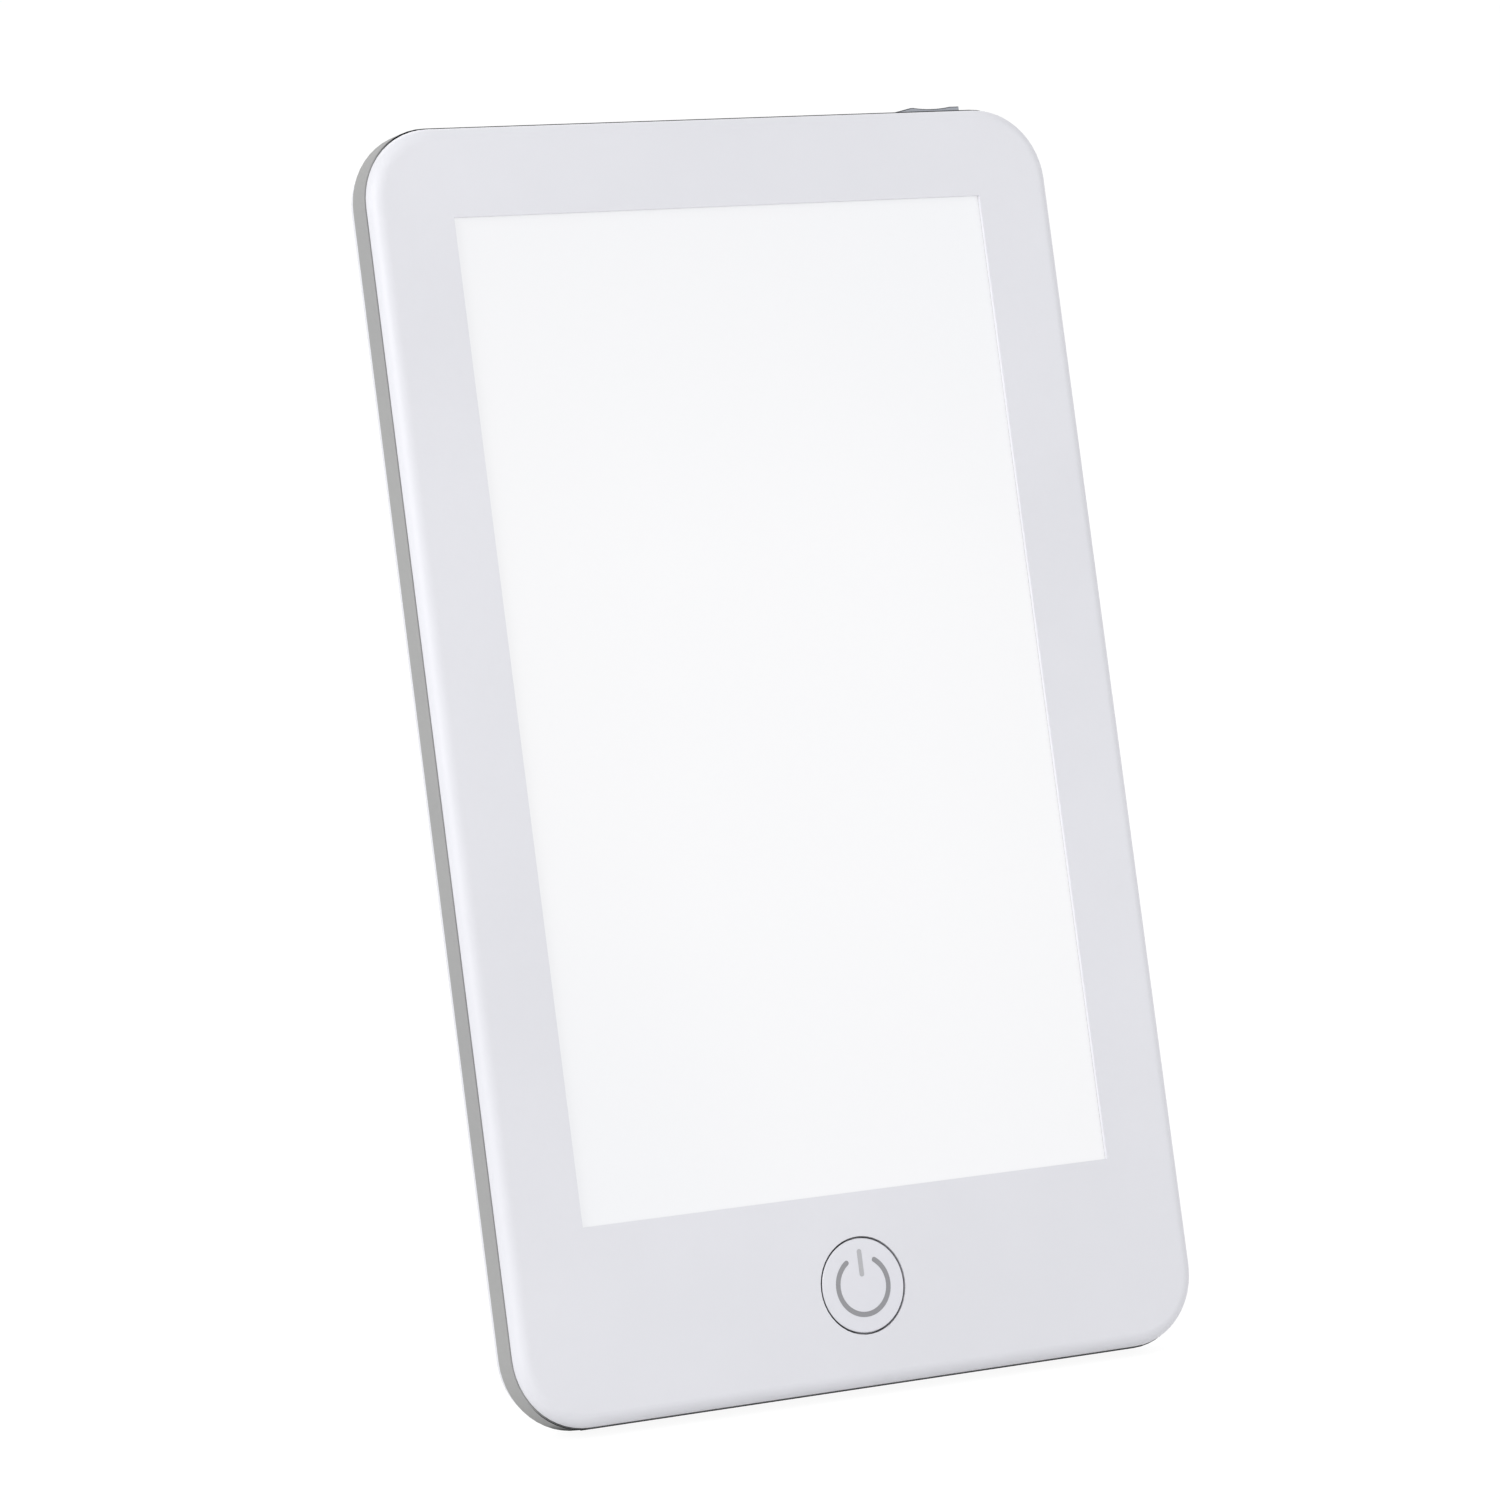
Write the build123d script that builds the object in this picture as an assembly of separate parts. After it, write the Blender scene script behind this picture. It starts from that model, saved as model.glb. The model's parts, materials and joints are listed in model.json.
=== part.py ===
"""Tablet light therapy lamp on a folding rear leg, in millimetres.

Every piece is modelled with the lamp lying on its back: X to the right, Y from
the lower edge to the upper edge, Z = 0 on the front plane and negative behind
it. "depth" is always counted backwards from the front plane. At the end the
lamp is stood up, leaning on its leg, with the surface it stands on at Z = 0.
"""

from build123d import *
from math import cos, floor, radians, sin
import os

# ---------------------------------------------------------------- overall size
width = 136.0
height = 221.7
corner_radius = 13.0
total_depth = 12.2
lean_angle = 14.6
leg_open_angle = 25.0

# ---------------------------------------------------------------- front bezel
bezel_depth = 2.6
bezel_face = 1.8
bezel_round = 2.3
side_margin = 15.1
top_margin = 15.7
window_bottom = 33.4
window_lip = 0.6
seam = 0.15
fit_gap = 0.1
lip_wall = 1.3
bezel_lip_length = 1.4
post_radius = 2.4
small_post_radius = 2.1
cut_past = 1.0

# ---------------------------------------------------------------- side band
band_depth = 4.5
band_proud = 0.3
band_wall = 2.0
band_edge_round = 0.2

# ---------------------------------------------------------------- rear cover
rear_inset = 0.6
rear_wall = 1.6
rear_round = 4.5
rear_lip_length = 1.2
rear_lip_wall = 1.2
rib_count = 3
rib_thickness = 1.0
rib_tip_gap = 0.35
rib_side_margin = 18.0
label_seat_width = 62.0
label_seat_height = 24.0
label_seat_depth = 0.3
label_seat_corner = 2.0

# ---------------------------------------------------------------- light engine
lens_margin = 2.5
lens_clearance = 0.2
lens_tape_thickness = 0.15
lens_thickness = 1.5
film_thickness = 0.3
guide_thickness = 3.0
reflector_thickness = 0.3
tray_thickness = 0.8
strip_board_thickness = 0.8
strip_board_height = 3.2
strip_overrun = 2.0
led_height = 0.6
led_length = 3.0
led_width = 2.0
led_pitch = 7.0
led_end_margin = 5.0
engine_gap = 0.1
tab_width = 8.0
tab_inset = 12.6

# ---------------------------------------------------------------- button
button_below_window = 16.1
button_radius = 8.12
button_gap = 0.36
button_flange = 0.9
button_flange_thickness = 0.6
button_travel = 0.5
button_edge_round = 0.15
plunger_radius = 1.7
plunger_proud = 0.8
plunger_gap = 0.05
tact_size = 6.2
tact_height = 1.6
tact_corner = 0.5
collar_wall = 1.0
collar_height = 0.9

# ---------------------------------------------------------------- control board
board_side_margin = 19.0
board_height = 20.5
board_corner = 1.0
board_screw_inset = 4.0
board_bottom = 5.5
board_depth = 5.0
board_thickness = 1.6
inductor_size = 7.0
inductor_height = 2.8
inductor_corner = 1.2
inductor_from_right = 19.0
chip_size = 6.0
chip_height = 1.2
chip_from_right = 30.0
capacitor_radius = 2.5
capacitor_height = 2.7
capacitor_count = 3
capacitor_pitch = 7.0
capacitor_from_left = 12.0

# ---------------------------------------------------------------- power inlet
inlet_height = 19.0
inlet_depth = 6.7
inlet_bore_radius = 2.85
inlet_pin_radius = 1.0
inlet_pin_setback = 1.2
jack_length = 13.0
jack_width = 9.0
jack_thickness = 7.6
jack_floor = 2.2
jack_setback = 1.0
jack_tail_length = 8.0
jack_tail_width = 2.0
jack_tail_thickness = 0.4
inlet_opening_radius = 3.15
plug_hole_length = 20.0

# ---------------------------------------------------------------- slide key
key_from_right = 21.5
key_length = 13.6
key_width = 3.0
key_height = 0.7
key_dish = 0.3
key_ramp = 3.5
key_left_flat = 0.6
key_right_flat = 1.9
key_edge = 0.18
key_float = 0.1
key_travel = 2.0
stem_length = 4.0
stem_thickness = 1.4
stem_gap = 0.3
stem_overlap = 0.02
slide_body_length = 9.0
slide_body_height = 4.0
slide_body_wall = 1.0
slide_board_thickness = 1.0
slide_board_length = 14.0
slide_board_width = 3.0

# ---------------------------------------------------------------- stand
pivot_height = 120.0
pivot_depth = 10.35
hinge_barrel_radius = 1.7
pin_radius = 1.0
pin_running_gap = 0.04
leg_width = 50.0
leg_thickness = 3.1
leg_skin = 1.5
leg_rib = 1.3
leg_flush_gap = 0.15
leg_side_gap = 0.4
leg_corner_radius = 4.0
leg_edge = 0.5
leg_shoulder_gap = 1.6
leg_cell_rows = 4
leg_cell_corner = 1.5
recess_floor_depth = 8.4
recess_wall = 1.5
recess_corner_radius = 3.0
bracket_thickness = 1.1
bracket_length = 12.0
bracket_side_gap = 0.3
ear_width = 3.6
washer_thickness = 0.5
washer_wall = 0.5
side_play = 0.1
heel_length = 4.6
stop_gap = 0.05
pad_height = 2.6
pad_side_margin = 4.0
pad_inset = 0.2
pad_corner = 1.0
foot_lift = 0.35
foot_length = 18.0
foot_width = 5.0
foot_height = 1.6
foot_centre = 45.0
foot_seat_gap = 0.05
foot_row_gap = 0.6

# ---------------------------------------------------------------- fasteners
case_screw_radius = 1.1
case_screw_gap = 0.05
case_head_radius = 2.0
case_head_height = 1.3
case_screw_inset_x = 9.5
case_screw_inset_y = 9.2
screw_tip_gap = 0.5
counterbore_depth = 1.9
counterbore_gap = 0.3
counterbore_wall = 0.9
counterbore_overlap = 0.8
small_screw_radius = 0.8
small_head_radius = 1.5
small_head_height = 0.8
small_screw_length = 3.4
wire_radius = 0.5
wire_sides = 8
wire_bend = 1.5
switch_lead_run = 2.5
switch_lead_depth = 4.5

# ---------------------------------------------------------------- worked out
far = 400.0
band_front = bezel_depth + seam
band_back = bezel_depth + band_depth
rear_front = band_back + seam
band_width = width + 2 * band_proud
band_height = height + 2 * band_proud
band_corner = corner_radius + band_proud
mid = height / 2
window_width = width - 2 * side_margin
window_height = height - window_bottom - top_margin
window_mid = window_bottom + window_height / 2
lens_width = window_width + 2 * lens_margin
lens_height = window_height + 2 * lens_margin
lens_front = window_lip + lens_tape_thickness
film_front = lens_front + lens_thickness
guide_front = film_front + film_thickness
reflector_front = guide_front + guide_thickness
tray_front = reflector_front + reflector_thickness
tray_back = tray_front + tray_thickness
led_x = lens_width / 2 + engine_gap
strip_x = led_x + led_height
flange_x = strip_x + strip_board_thickness
tray_half = flange_x + tray_thickness
lip_inset = band_wall - band_proud + fit_gap
rim_inner = lip_inset + lip_wall
board_width = width - 2 * board_side_margin
button_y = window_bottom - button_below_window
hole_radius = button_radius + button_gap
plunger_front = board_depth - tact_height - plunger_proud
case_post_back = recess_floor_depth - recess_wall
recess_half = leg_width / 2 + leg_side_gap
bracket_bottom = pivot_height + 2 * hinge_barrel_radius
recess_top = bracket_bottom + bracket_length + bracket_side_gap
bracket_half = recess_half - bracket_side_gap
ear_inner = bracket_half - ear_width
leg_neck_half = ear_inner - washer_thickness - 2 * side_play
leg_outer_depth = total_depth - leg_flush_gap
leg_inner_depth = leg_outer_depth - leg_thickness
lift_angle = leg_open_angle - lean_angle
leg_plate_top = pivot_height - hinge_barrel_radius - leg_shoulder_gap
jack_mouth_x = width / 2 + band_proud - band_wall - jack_setback
key_depth = band_front + (band_back - band_front) / 2
slide_body_top = height + band_proud - band_wall - 2 * fit_gap
key_centre = width / 2 - key_from_right
slide_body_x = key_centre - key_travel / 2
slide_board_bottom = slide_body_top - slide_body_height - slide_board_thickness
hinge_screw_y = bracket_bottom + bracket_length / 2
hinge_screw_spots = [(ear_inner * quarter / 4, hinge_screw_y) for quarter in (-3, -1, 1, 3)]
case_screw_mid_inset = (rim_inner + width / 2 - tray_half) / 2

case_screw_spots = [
    (side * (width / 2 - inset), y)
    for side in (-1, 1)
    for inset, y in (
        (case_screw_inset_x, case_screw_inset_y),
        (case_screw_mid_inset, mid),
        (case_screw_inset_x, height - case_screw_inset_y),
    )
]
plate_screw_x = width / 2 - case_screw_mid_inset
plate_screw_spots = [
    (side * plate_screw_x, y)
    for side in (-1, 1)
    for y in (window_bottom + tab_inset, window_bottom + window_height - tab_inset)
]
rib_space = height - rim_inner - recess_top - recess_wall
rib_rows = [
    recess_top + recess_wall + rib_space * (row + 1) / (rib_count + 1) for row in range(rib_count)
]
label_seat_y = recess_top + recess_wall + rib_space / 2
board_screw_spots = [
    (side * (board_width / 2 - board_screw_inset), board_bottom + rise)
    for side in (-1, 1)
    for rise in (board_screw_inset, board_height - board_screw_inset)
]


# ---------------------------------------------------------------- placing
def plate(x_size, y_size, radius, front, thickness, x=0.0, y=None):
    """A plate with rounded corners whose front face is FRONT behind the front plane."""
    outline = RectangleRounded(x_size, y_size, radius) if radius else Rectangle(x_size, y_size)
    middle = mid if y is None else y
    return Pos(x, middle, -front - thickness) * extrude(outline, thickness)


def peg(radius, front, thickness, x, y):
    """A round post or hole that runs straight back from FRONT."""
    return Pos(x, y, -front - thickness / 2) * Cylinder(radius, thickness)


def across(radius, length, x, y, depth):
    """A round bar along X."""
    return Pos(x, y, -depth) * Rot(0, 90, 0) * Cylinder(radius, length)


def edges_at(shape, depth):
    """The edges that lie at one depth behind the front plane."""
    return shape.edges().filter_by_position(Axis.Z, -depth - 0.01, -depth + 0.01)


def row_height(y, depth):
    """Height of a point above the front plane's lower corner once the lamp leans."""
    return y * cos(radians(lean_angle)) - depth * sin(radians(lean_angle))


ground = row_height(-band_proud, band_back) - foot_lift
leg_reach = (row_height(pivot_height, pivot_depth) - ground) / cos(radians(lift_angle))
leg_end_y = pivot_height - leg_reach + pad_height
foot_row_y = (
    -band_proud * sin(radians(lean_angle))
    + band_back * cos(radians(lean_angle))
    + foot_width / 2 + foot_row_gap
)


def ground_block():
    """Everything under the surface that the lamp stands on, seen from the lying lamp."""
    block = Pos(0, 0, -far / 2) * Box(far, far, far)
    return Rot(lean_angle - 90, 0, 0) * Pos(0, 0, ground) * block


def opened(shape):
    """Swing a piece of the closed leg out to where it stands."""
    pivot = Pos(0, pivot_height, -pivot_depth)
    return pivot * Rot(leg_open_angle, 0, 0) * pivot.inverse() * shape


def plug_hole():
    """The round opening for the plug, through the right-hand side."""
    return across(inlet_opening_radius, plug_hole_length, width / 2, inlet_height, inlet_depth)


def pan_screw(head_radius, head_height, radius, seat, length, x, y):
    """A pan-head screw whose head sits on a face at depth SEAT and points back."""
    head = peg(head_radius, seat, head_height, x, y)
    head = chamfer(edges_at(head, seat + head_height), head_height / 3)
    return head + peg(radius, seat - length, length, x, y)


def post(radius, hole, front, back, x, y):
    """A screw post with its pilot hole."""
    return peg(radius, front, back - front, x, y), peg(hole, front, back - front, x, y)


# ---------------------------------------------------------------- front shell
def front_bezel():
    """White front shell: rounded rim, window, lens rebate, button collar, posts and lip."""
    shell = plate(width, height, corner_radius, 0, bezel_depth)
    shell = fillet(edges_at(shell, 0), bezel_round)
    lip_back = bezel_depth + bezel_lip_length
    lip = plate(
        width - 2 * lip_inset, height - 2 * lip_inset, corner_radius - lip_inset,
        bezel_face, lip_back - bezel_face,
    )
    cavity = plate(
        width - 2 * rim_inner, height - 2 * rim_inner, corner_radius - rim_inner,
        bezel_face, lip_back,
    )
    shell = shell + lip - cavity
    shell -= plate(
        window_width, window_height, 0, -cut_past, bezel_depth + 2 * cut_past, y=window_mid
    )
    shell -= plate(
        lens_width + 2 * lens_clearance, lens_height + 2 * lens_clearance, 0,
        window_lip, bezel_depth, y=window_mid,
    )
    pilots = []
    posts = [
        (post_radius, case_screw_radius + case_screw_gap, case_post_back, case_screw_spots),
        (small_post_radius, small_screw_radius + case_screw_gap, tray_front, plate_screw_spots),
        (small_post_radius, small_screw_radius + case_screw_gap, board_depth, board_screw_spots),
    ]
    for radius, hole, back, spots in posts:
        for x, y in spots:
            solid, pilot = post(radius, hole, bezel_face, back, x, y)
            shell += solid
            pilots.append(pilot)
    collar_inner = button_radius + button_flange + button_gap
    collar = peg(collar_inner + collar_wall, bezel_face, collar_height, 0, button_y)
    shell += collar - peg(collar_inner, bezel_face, collar_height, 0, button_y)
    shell -= peg(hole_radius, -cut_past, bezel_face + 2 * cut_past, 0, button_y)
    for pilot in pilots:
        shell -= pilot
    shell -= jack_block(fit_gap) + switch_block(fit_gap)
    return shell - plug_hole()


def lens_tape():
    """Adhesive frame between the window's lip and the lens."""
    outer = plate(lens_width, lens_height, 0, window_lip, lens_tape_thickness, y=window_mid)
    return outer - plate(
        window_width, window_height, 0, window_lip, lens_tape_thickness, y=window_mid
    )


def engine_sheet(front, thickness):
    """One sheet of the optical stack."""
    return plate(lens_width, lens_height, 0, front, thickness, y=window_mid)


def led_board(side):
    """Strip board on edge along one long side of the light guide."""
    x = side * (strip_x + strip_board_thickness / 2)
    return plate(
        strip_board_thickness, lens_height + strip_overrun, 0,
        guide_front - engine_gap, strip_board_height, x=x, y=window_mid - strip_overrun / 2,
    )


def leds(side):
    """The LED packages of one strip, facing the light guide's edge."""
    count = floor((lens_height - 2 * led_end_margin) / led_pitch)
    x = side * (led_x + led_height / 2)
    front = guide_front + (guide_thickness - led_width) / 2
    first = window_mid - (count - 1) * led_pitch / 2
    return Compound([
        plate(led_height, led_length, 0, front, led_width, x=x, y=first + i * led_pitch)
        for i in range(count)
    ])


def back_plate():
    """Aluminium tray: flat back, side flanges behind the strip boards, four screw tabs."""
    tray = plate(2 * tray_half, lens_height, 0, tray_front, tray_thickness, y=window_mid)
    for side in (-1, 1):
        x = side * (flange_x + tray_thickness / 2)
        tray += plate(
            tray_thickness, lens_height, 0, guide_front, tray_front - guide_front,
            x=x, y=window_mid,
        )
    for x, y in plate_screw_spots:
        reach = plate_screw_x + small_post_radius
        side = 1 if x > 0 else -1
        tray += plate(reach, tab_width, 0, tray_front, tray_thickness, x=side * reach / 2, y=y)
        tray -= peg(small_screw_radius + case_screw_gap, tray_front, tray_thickness, x, y)
    return tray


def small_screws(spots, seat_depth, length=small_screw_length):
    """Small screws whose heads sit on a face at SEAT_DEPTH."""
    return Compound([
        pan_screw(
            small_head_radius, small_head_height, small_screw_radius,
            seat_depth, length, x, y,
        )
        for x, y in spots
    ])


# ---------------------------------------------------------------- side band
def side_band():
    """Grey middle frame, a little proud of both shells, with the key's slot and the plug's hole."""
    band = plate(band_width, band_height, band_corner, band_front, band_back - band_front)
    rims = edges_at(band, band_front) + edges_at(band, band_back)
    band = fillet(rims, band_edge_round)
    band -= plate(
        band_width - 2 * band_wall, band_height - 2 * band_wall, band_corner - band_wall,
        band_front - cut_past, band_depth + 2 * cut_past,
    )
    slot_length = stem_length + key_travel + 2 * stem_gap
    slot_x = key_centre - key_travel / 2
    band -= Pos(slot_x, height, -key_depth) * Box(
        slot_length, 4 * band_wall, stem_thickness + 2 * stem_gap
    )
    return band - plug_hole()


# ---------------------------------------------------------------- rear shell
def stiffening_ribs():
    """Cross ribs on the inside of the back, between the recess and the upper rim."""
    tip = tray_back + rib_tip_gap
    ribs = [
        plate(
            width - 2 * rib_side_margin, rib_thickness, 0,
            tip, total_depth - rear_wall / 2 - tip, y=y,
        )
        for y in rib_rows
    ]
    return ribs[0] + ribs[1:]


def rear_cover():
    """White back shell: rounded rim, lip, leg recess with its floor, posts and counterbores."""
    cut_in = rear_inset - band_proud
    shell = plate(
        width - 2 * cut_in, height - 2 * cut_in, corner_radius - cut_in,
        rear_front, total_depth - rear_front,
    )
    shell = fillet(edges_at(shell, total_depth), rear_round)
    lip_front = rear_front - rear_lip_length
    shell += plate(
        width - 2 * lip_inset, height - 2 * lip_inset, corner_radius - lip_inset,
        lip_front, rear_lip_length + cut_past,
    )
    inner = lip_inset + rear_lip_wall
    cavity = plate(
        width - 2 * inner, height - 2 * inner, corner_radius - inner,
        lip_front, total_depth - rear_wall - lip_front,
    )
    cavity = chamfer(edges_at(cavity, total_depth - rear_wall), rear_round - inner)
    wall_block = plate(
        2 * (recess_half + recess_wall), recess_top + recess_wall, 0,
        case_post_back, total_depth - case_post_back - rear_wall / 2,
        y=(recess_top + recess_wall) / 2,
    )
    shell = shell - cavity + (wall_block & shell)
    pocket_height = recess_top + 2 * recess_corner_radius
    shell -= plate(
        2 * recess_half, pocket_height, recess_corner_radius,
        recess_floor_depth, total_depth, y=recess_top - pocket_height / 2,
    )
    shell += stiffening_ribs()
    shell -= plate(
        label_seat_width, label_seat_height, label_seat_corner,
        total_depth - label_seat_depth, cut_past, y=label_seat_y,
    )
    for x, y in case_screw_spots:
        seat = total_depth - counterbore_depth
        head_gap = case_head_radius + counterbore_gap
        boss_front = case_post_back + fit_gap
        boss_length = total_depth - counterbore_overlap - boss_front
        shell += peg(head_gap + counterbore_wall, boss_front, boss_length, x, y)
        shell -= peg(case_screw_radius + case_screw_gap, case_post_back, seat, x, y)
        shell -= peg(head_gap, seat, total_depth, x, y)
    for x, y in hinge_screw_spots:
        shell -= peg(
            small_screw_radius + case_screw_gap, case_post_back - cut_past,
            recess_wall + 2 * cut_past, x, y,
        )
    shell -= plug_hole()
    shell -= jack_block(fit_gap) + switch_block(fit_gap)
    for side in (-1, 1):
        shell -= foot_block(side, foot_seat_gap)
    return shell


def case_screws():
    """Six screws that pull the rear cover onto the bezel's posts."""
    seat = total_depth - counterbore_depth
    length = seat - bezel_face - screw_tip_gap
    return Compound([
        pan_screw(case_head_radius, case_head_height, case_screw_radius, seat, length, x, y)
        for x, y in case_screw_spots
    ])


def foot_block(side, gap=0.0):
    """A rubber block under the rear lower edge, level with the surface once the lamp stands."""
    block = Box(
        foot_length + 2 * gap, foot_width + 2 * gap, foot_height + gap,
        align=(Align.CENTER, Align.CENTER, Align.MIN),
    )
    block = Pos(side * foot_centre, foot_row_y, ground) * block
    return Rot(lean_angle - 90, 0, 0) * block


def bottom_feet():
    """Two rubber feet let into the rear cover's lower rounding."""
    return Compound([foot_block(side) for side in (-1, 1)])


# ---------------------------------------------------------------- button
def button_cap():
    """Round push button with a retaining flange and a centre nub on the plunger."""
    cap = peg(button_radius, 0, bezel_face + fit_gap, 0, button_y)
    cap = chamfer(edges_at(cap, 0), button_edge_round)
    flange_front = bezel_face + fit_gap
    cap += peg(
        button_radius + button_flange, flange_front, button_flange_thickness, 0, button_y
    )
    nub_length = plunger_front - plunger_gap - flange_front
    return cap + peg(plunger_radius, flange_front, nub_length, 0, button_y)


def switch_plunger():
    """The moving stem of the tact switch."""
    length = plunger_proud + tact_height / 2
    return peg(plunger_radius, plunger_front, length, 0, button_y)


def tact_switch():
    """Square switch body with the plunger's well."""
    body = plate(
        tact_size, tact_size, tact_corner, board_depth - tact_height, tact_height, y=button_y
    )
    well = tact_height / 2 + button_travel + plunger_gap
    return body - peg(
        plunger_radius + pin_running_gap, board_depth - tact_height, well, 0, button_y
    )


# ---------------------------------------------------------------- control board
def control_board():
    """Main circuit board in the bay below the window."""
    board = plate(
        board_width, board_height, board_corner, board_depth, board_thickness,
        y=board_bottom + board_height / 2,
    )
    for x, y in board_screw_spots:
        board -= peg(small_screw_radius + case_screw_gap, board_depth, board_thickness, x, y)
    return board


def on_board(x_size, y_size, tall, x, radius=0.0):
    """A component on the front face of the control board."""
    middle = board_bottom + board_height / 2
    return plate(x_size, y_size, radius, board_depth - tall, tall, x=x, y=middle)


def power_inductor():
    """Shielded inductor."""
    x = board_width / 2 - inductor_from_right
    return on_board(inductor_size, inductor_size, inductor_height, x, radius=inductor_corner)


def driver_chip():
    """LED driver in a flat square package."""
    return on_board(chip_size, chip_size, chip_height, board_width / 2 - chip_from_right)


def board_capacitors():
    """Three short can capacitors."""
    middle = board_bottom + board_height / 2
    first = capacitor_from_left - board_width / 2
    return Compound([
        peg(
            capacitor_radius, board_depth - capacitor_height, capacitor_height,
            first + number * capacitor_pitch, middle,
        )
        for number in range(capacitor_count)
    ])


# ---------------------------------------------------------------- power inlet
def jack_block(gap=0.0):
    """The socket's body; with a gap, the seat that both shells leave for it."""
    return Pos(jack_mouth_x - jack_length / 2, inlet_height, -inlet_depth) * Box(
        jack_length + 2 * gap, jack_width + 2 * gap, jack_thickness + 2 * gap
    )


def jack_tail(gap=0.0):
    """Solder tail of the centre contact, from the bore's floor to the control board."""
    tail_right = jack_mouth_x - jack_length + jack_floor
    tail_depth = board_depth + board_thickness + jack_tail_thickness / 2
    return Pos(tail_right - jack_tail_length / 2, inlet_height, -tail_depth) * Box(
        jack_tail_length, jack_tail_width + 2 * gap, jack_tail_thickness + 2 * gap
    )


def dc_jack():
    """Barrel socket on the right-hand side, with its blind bore."""
    bore_length = jack_length - jack_floor
    bore = across(
        inlet_bore_radius, bore_length, jack_mouth_x - bore_length / 2, inlet_height, inlet_depth
    )
    return jack_block() - bore - jack_tail(fit_gap / 2)


def inlet_pin():
    """Centre contact of the socket, with a tapered tip and a solder tail."""
    tip = jack_mouth_x - inlet_pin_setback
    root = jack_mouth_x - jack_length + jack_floor
    length = tip - root
    pin = across(inlet_pin_radius, length, root + length / 2, inlet_height, inlet_depth)
    pin = chamfer(pin.edges().sort_by(Axis.X)[-1:], inlet_pin_radius / 2)
    return pin + jack_tail()


# ---------------------------------------------------------------- slide key
def slide_key():
    """Dished thumb key on the upper edge, with its stem through the band."""
    base = height + band_proud + key_float
    left = key_centre - key_length / 2
    right = key_centre + key_length / 2
    top = base + key_height
    dish_left = left + key_ramp + key_left_flat
    dish_right = right - key_right_flat
    with BuildSketch(Plane.XY) as side_view:
        with BuildLine():
            Line((left, base), (right, base))
            Line((right, base), (right, top))
            Line((right, top), (dish_right, top))
            ThreePointArc(
                (dish_right, top),
                ((dish_left + dish_right) / 2, top - key_dish),
                (dish_left, top),
            )
            Line((dish_left, top), (left + key_ramp, top))
            Line((left + key_ramp, top), (left, base))
        make_face()
    knob = Pos(0, 0, -key_depth - key_width / 2) * extrude(side_view.sketch, key_width)
    long_edges = edges_at(knob, key_depth - key_width / 2) + edges_at(knob, key_depth + key_width / 2)
    knob = chamfer([edge for edge in long_edges if edge.center().Y > base + key_edge], key_edge)
    stem_bottom = slide_body_top - slide_body_height + slide_body_wall + fit_gap
    stem_height = base - stem_bottom
    stem = Pos(key_centre, stem_bottom + stem_height / 2, -key_depth) * Box(
        stem_length, stem_height + stem_overlap, stem_thickness
    )
    return knob + stem


def switch_block(gap=0.0):
    """The slide switch's body; with a gap, the notch that both lips leave for it."""
    thickness = stem_thickness + 2 * stem_gap + slide_body_wall
    return Pos(slide_body_x, slide_body_top - slide_body_height / 2, -key_depth) * Box(
        slide_body_length + 2 * gap, slide_body_height + 4 * gap, thickness + 2 * gap
    )


def slide_switch():
    """Slide switch under the key; the key's stem runs in its slot."""
    slot_height = slide_body_height - slide_body_wall
    slot = Pos(slide_body_x, slide_body_top - slot_height / 2, -key_depth) * Box(
        stem_length + key_travel + 2 * stem_gap, slot_height, stem_thickness + 2 * fit_gap
    )
    return switch_block() - slot


def switch_board():
    """Small board that carries the slide switch."""
    y = slide_board_bottom + slide_board_thickness / 2
    return Pos(slide_body_x, y, -key_depth) * Box(
        slide_board_length, slide_board_thickness, slide_board_width
    )


# ---------------------------------------------------------------- wires
def wire(points, bend):
    """A plain wire on straight runs joined by arcs."""
    path = FilletPolyline(*points, radius=bend)
    section = Plane(origin=path @ 0, z_dir=path % 0) * RegularPolygon(wire_radius, wire_sides)
    return sweep(section, path=path)


def led_leads():
    """A two-core lead each side, from the board to the lower end of the strip board."""
    depth = board_depth - wire_radius
    y_board = board_bottom + board_height - 2 * wire_radius
    y_strip = window_mid - lens_height / 2 - strip_overrun
    x_board = board_width / 2 - 2.5 * wire_radius
    x_strip = strip_x - wire_radius - fit_gap / 2
    return Compound([
        wire(
            [
                (side * x_board, y_board, -depth),
                (side * x_strip, y_board, -depth),
                (side * x_strip, y_strip + 2 * wire_radius, -depth),
            ],
            wire_bend,
        )
        for side in (-1, 1)
    ])


def switch_leads():
    """A two-core lead from the upper end of the right strip board to the switch board."""
    x_strip = strip_x + strip_board_thickness / 2
    x_board = slide_body_x + slide_board_length / 2 - 2 * wire_radius
    y_strip = window_mid + lens_height / 2
    y_run = y_strip + switch_lead_run
    return wire(
        [
            (x_strip, y_strip, -switch_lead_depth),
            (x_strip, y_run, -switch_lead_depth),
            (x_board, y_run, -switch_lead_depth),
            (x_board, slide_board_bottom, -switch_lead_depth),
        ],
        wire_bend,
    )


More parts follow.
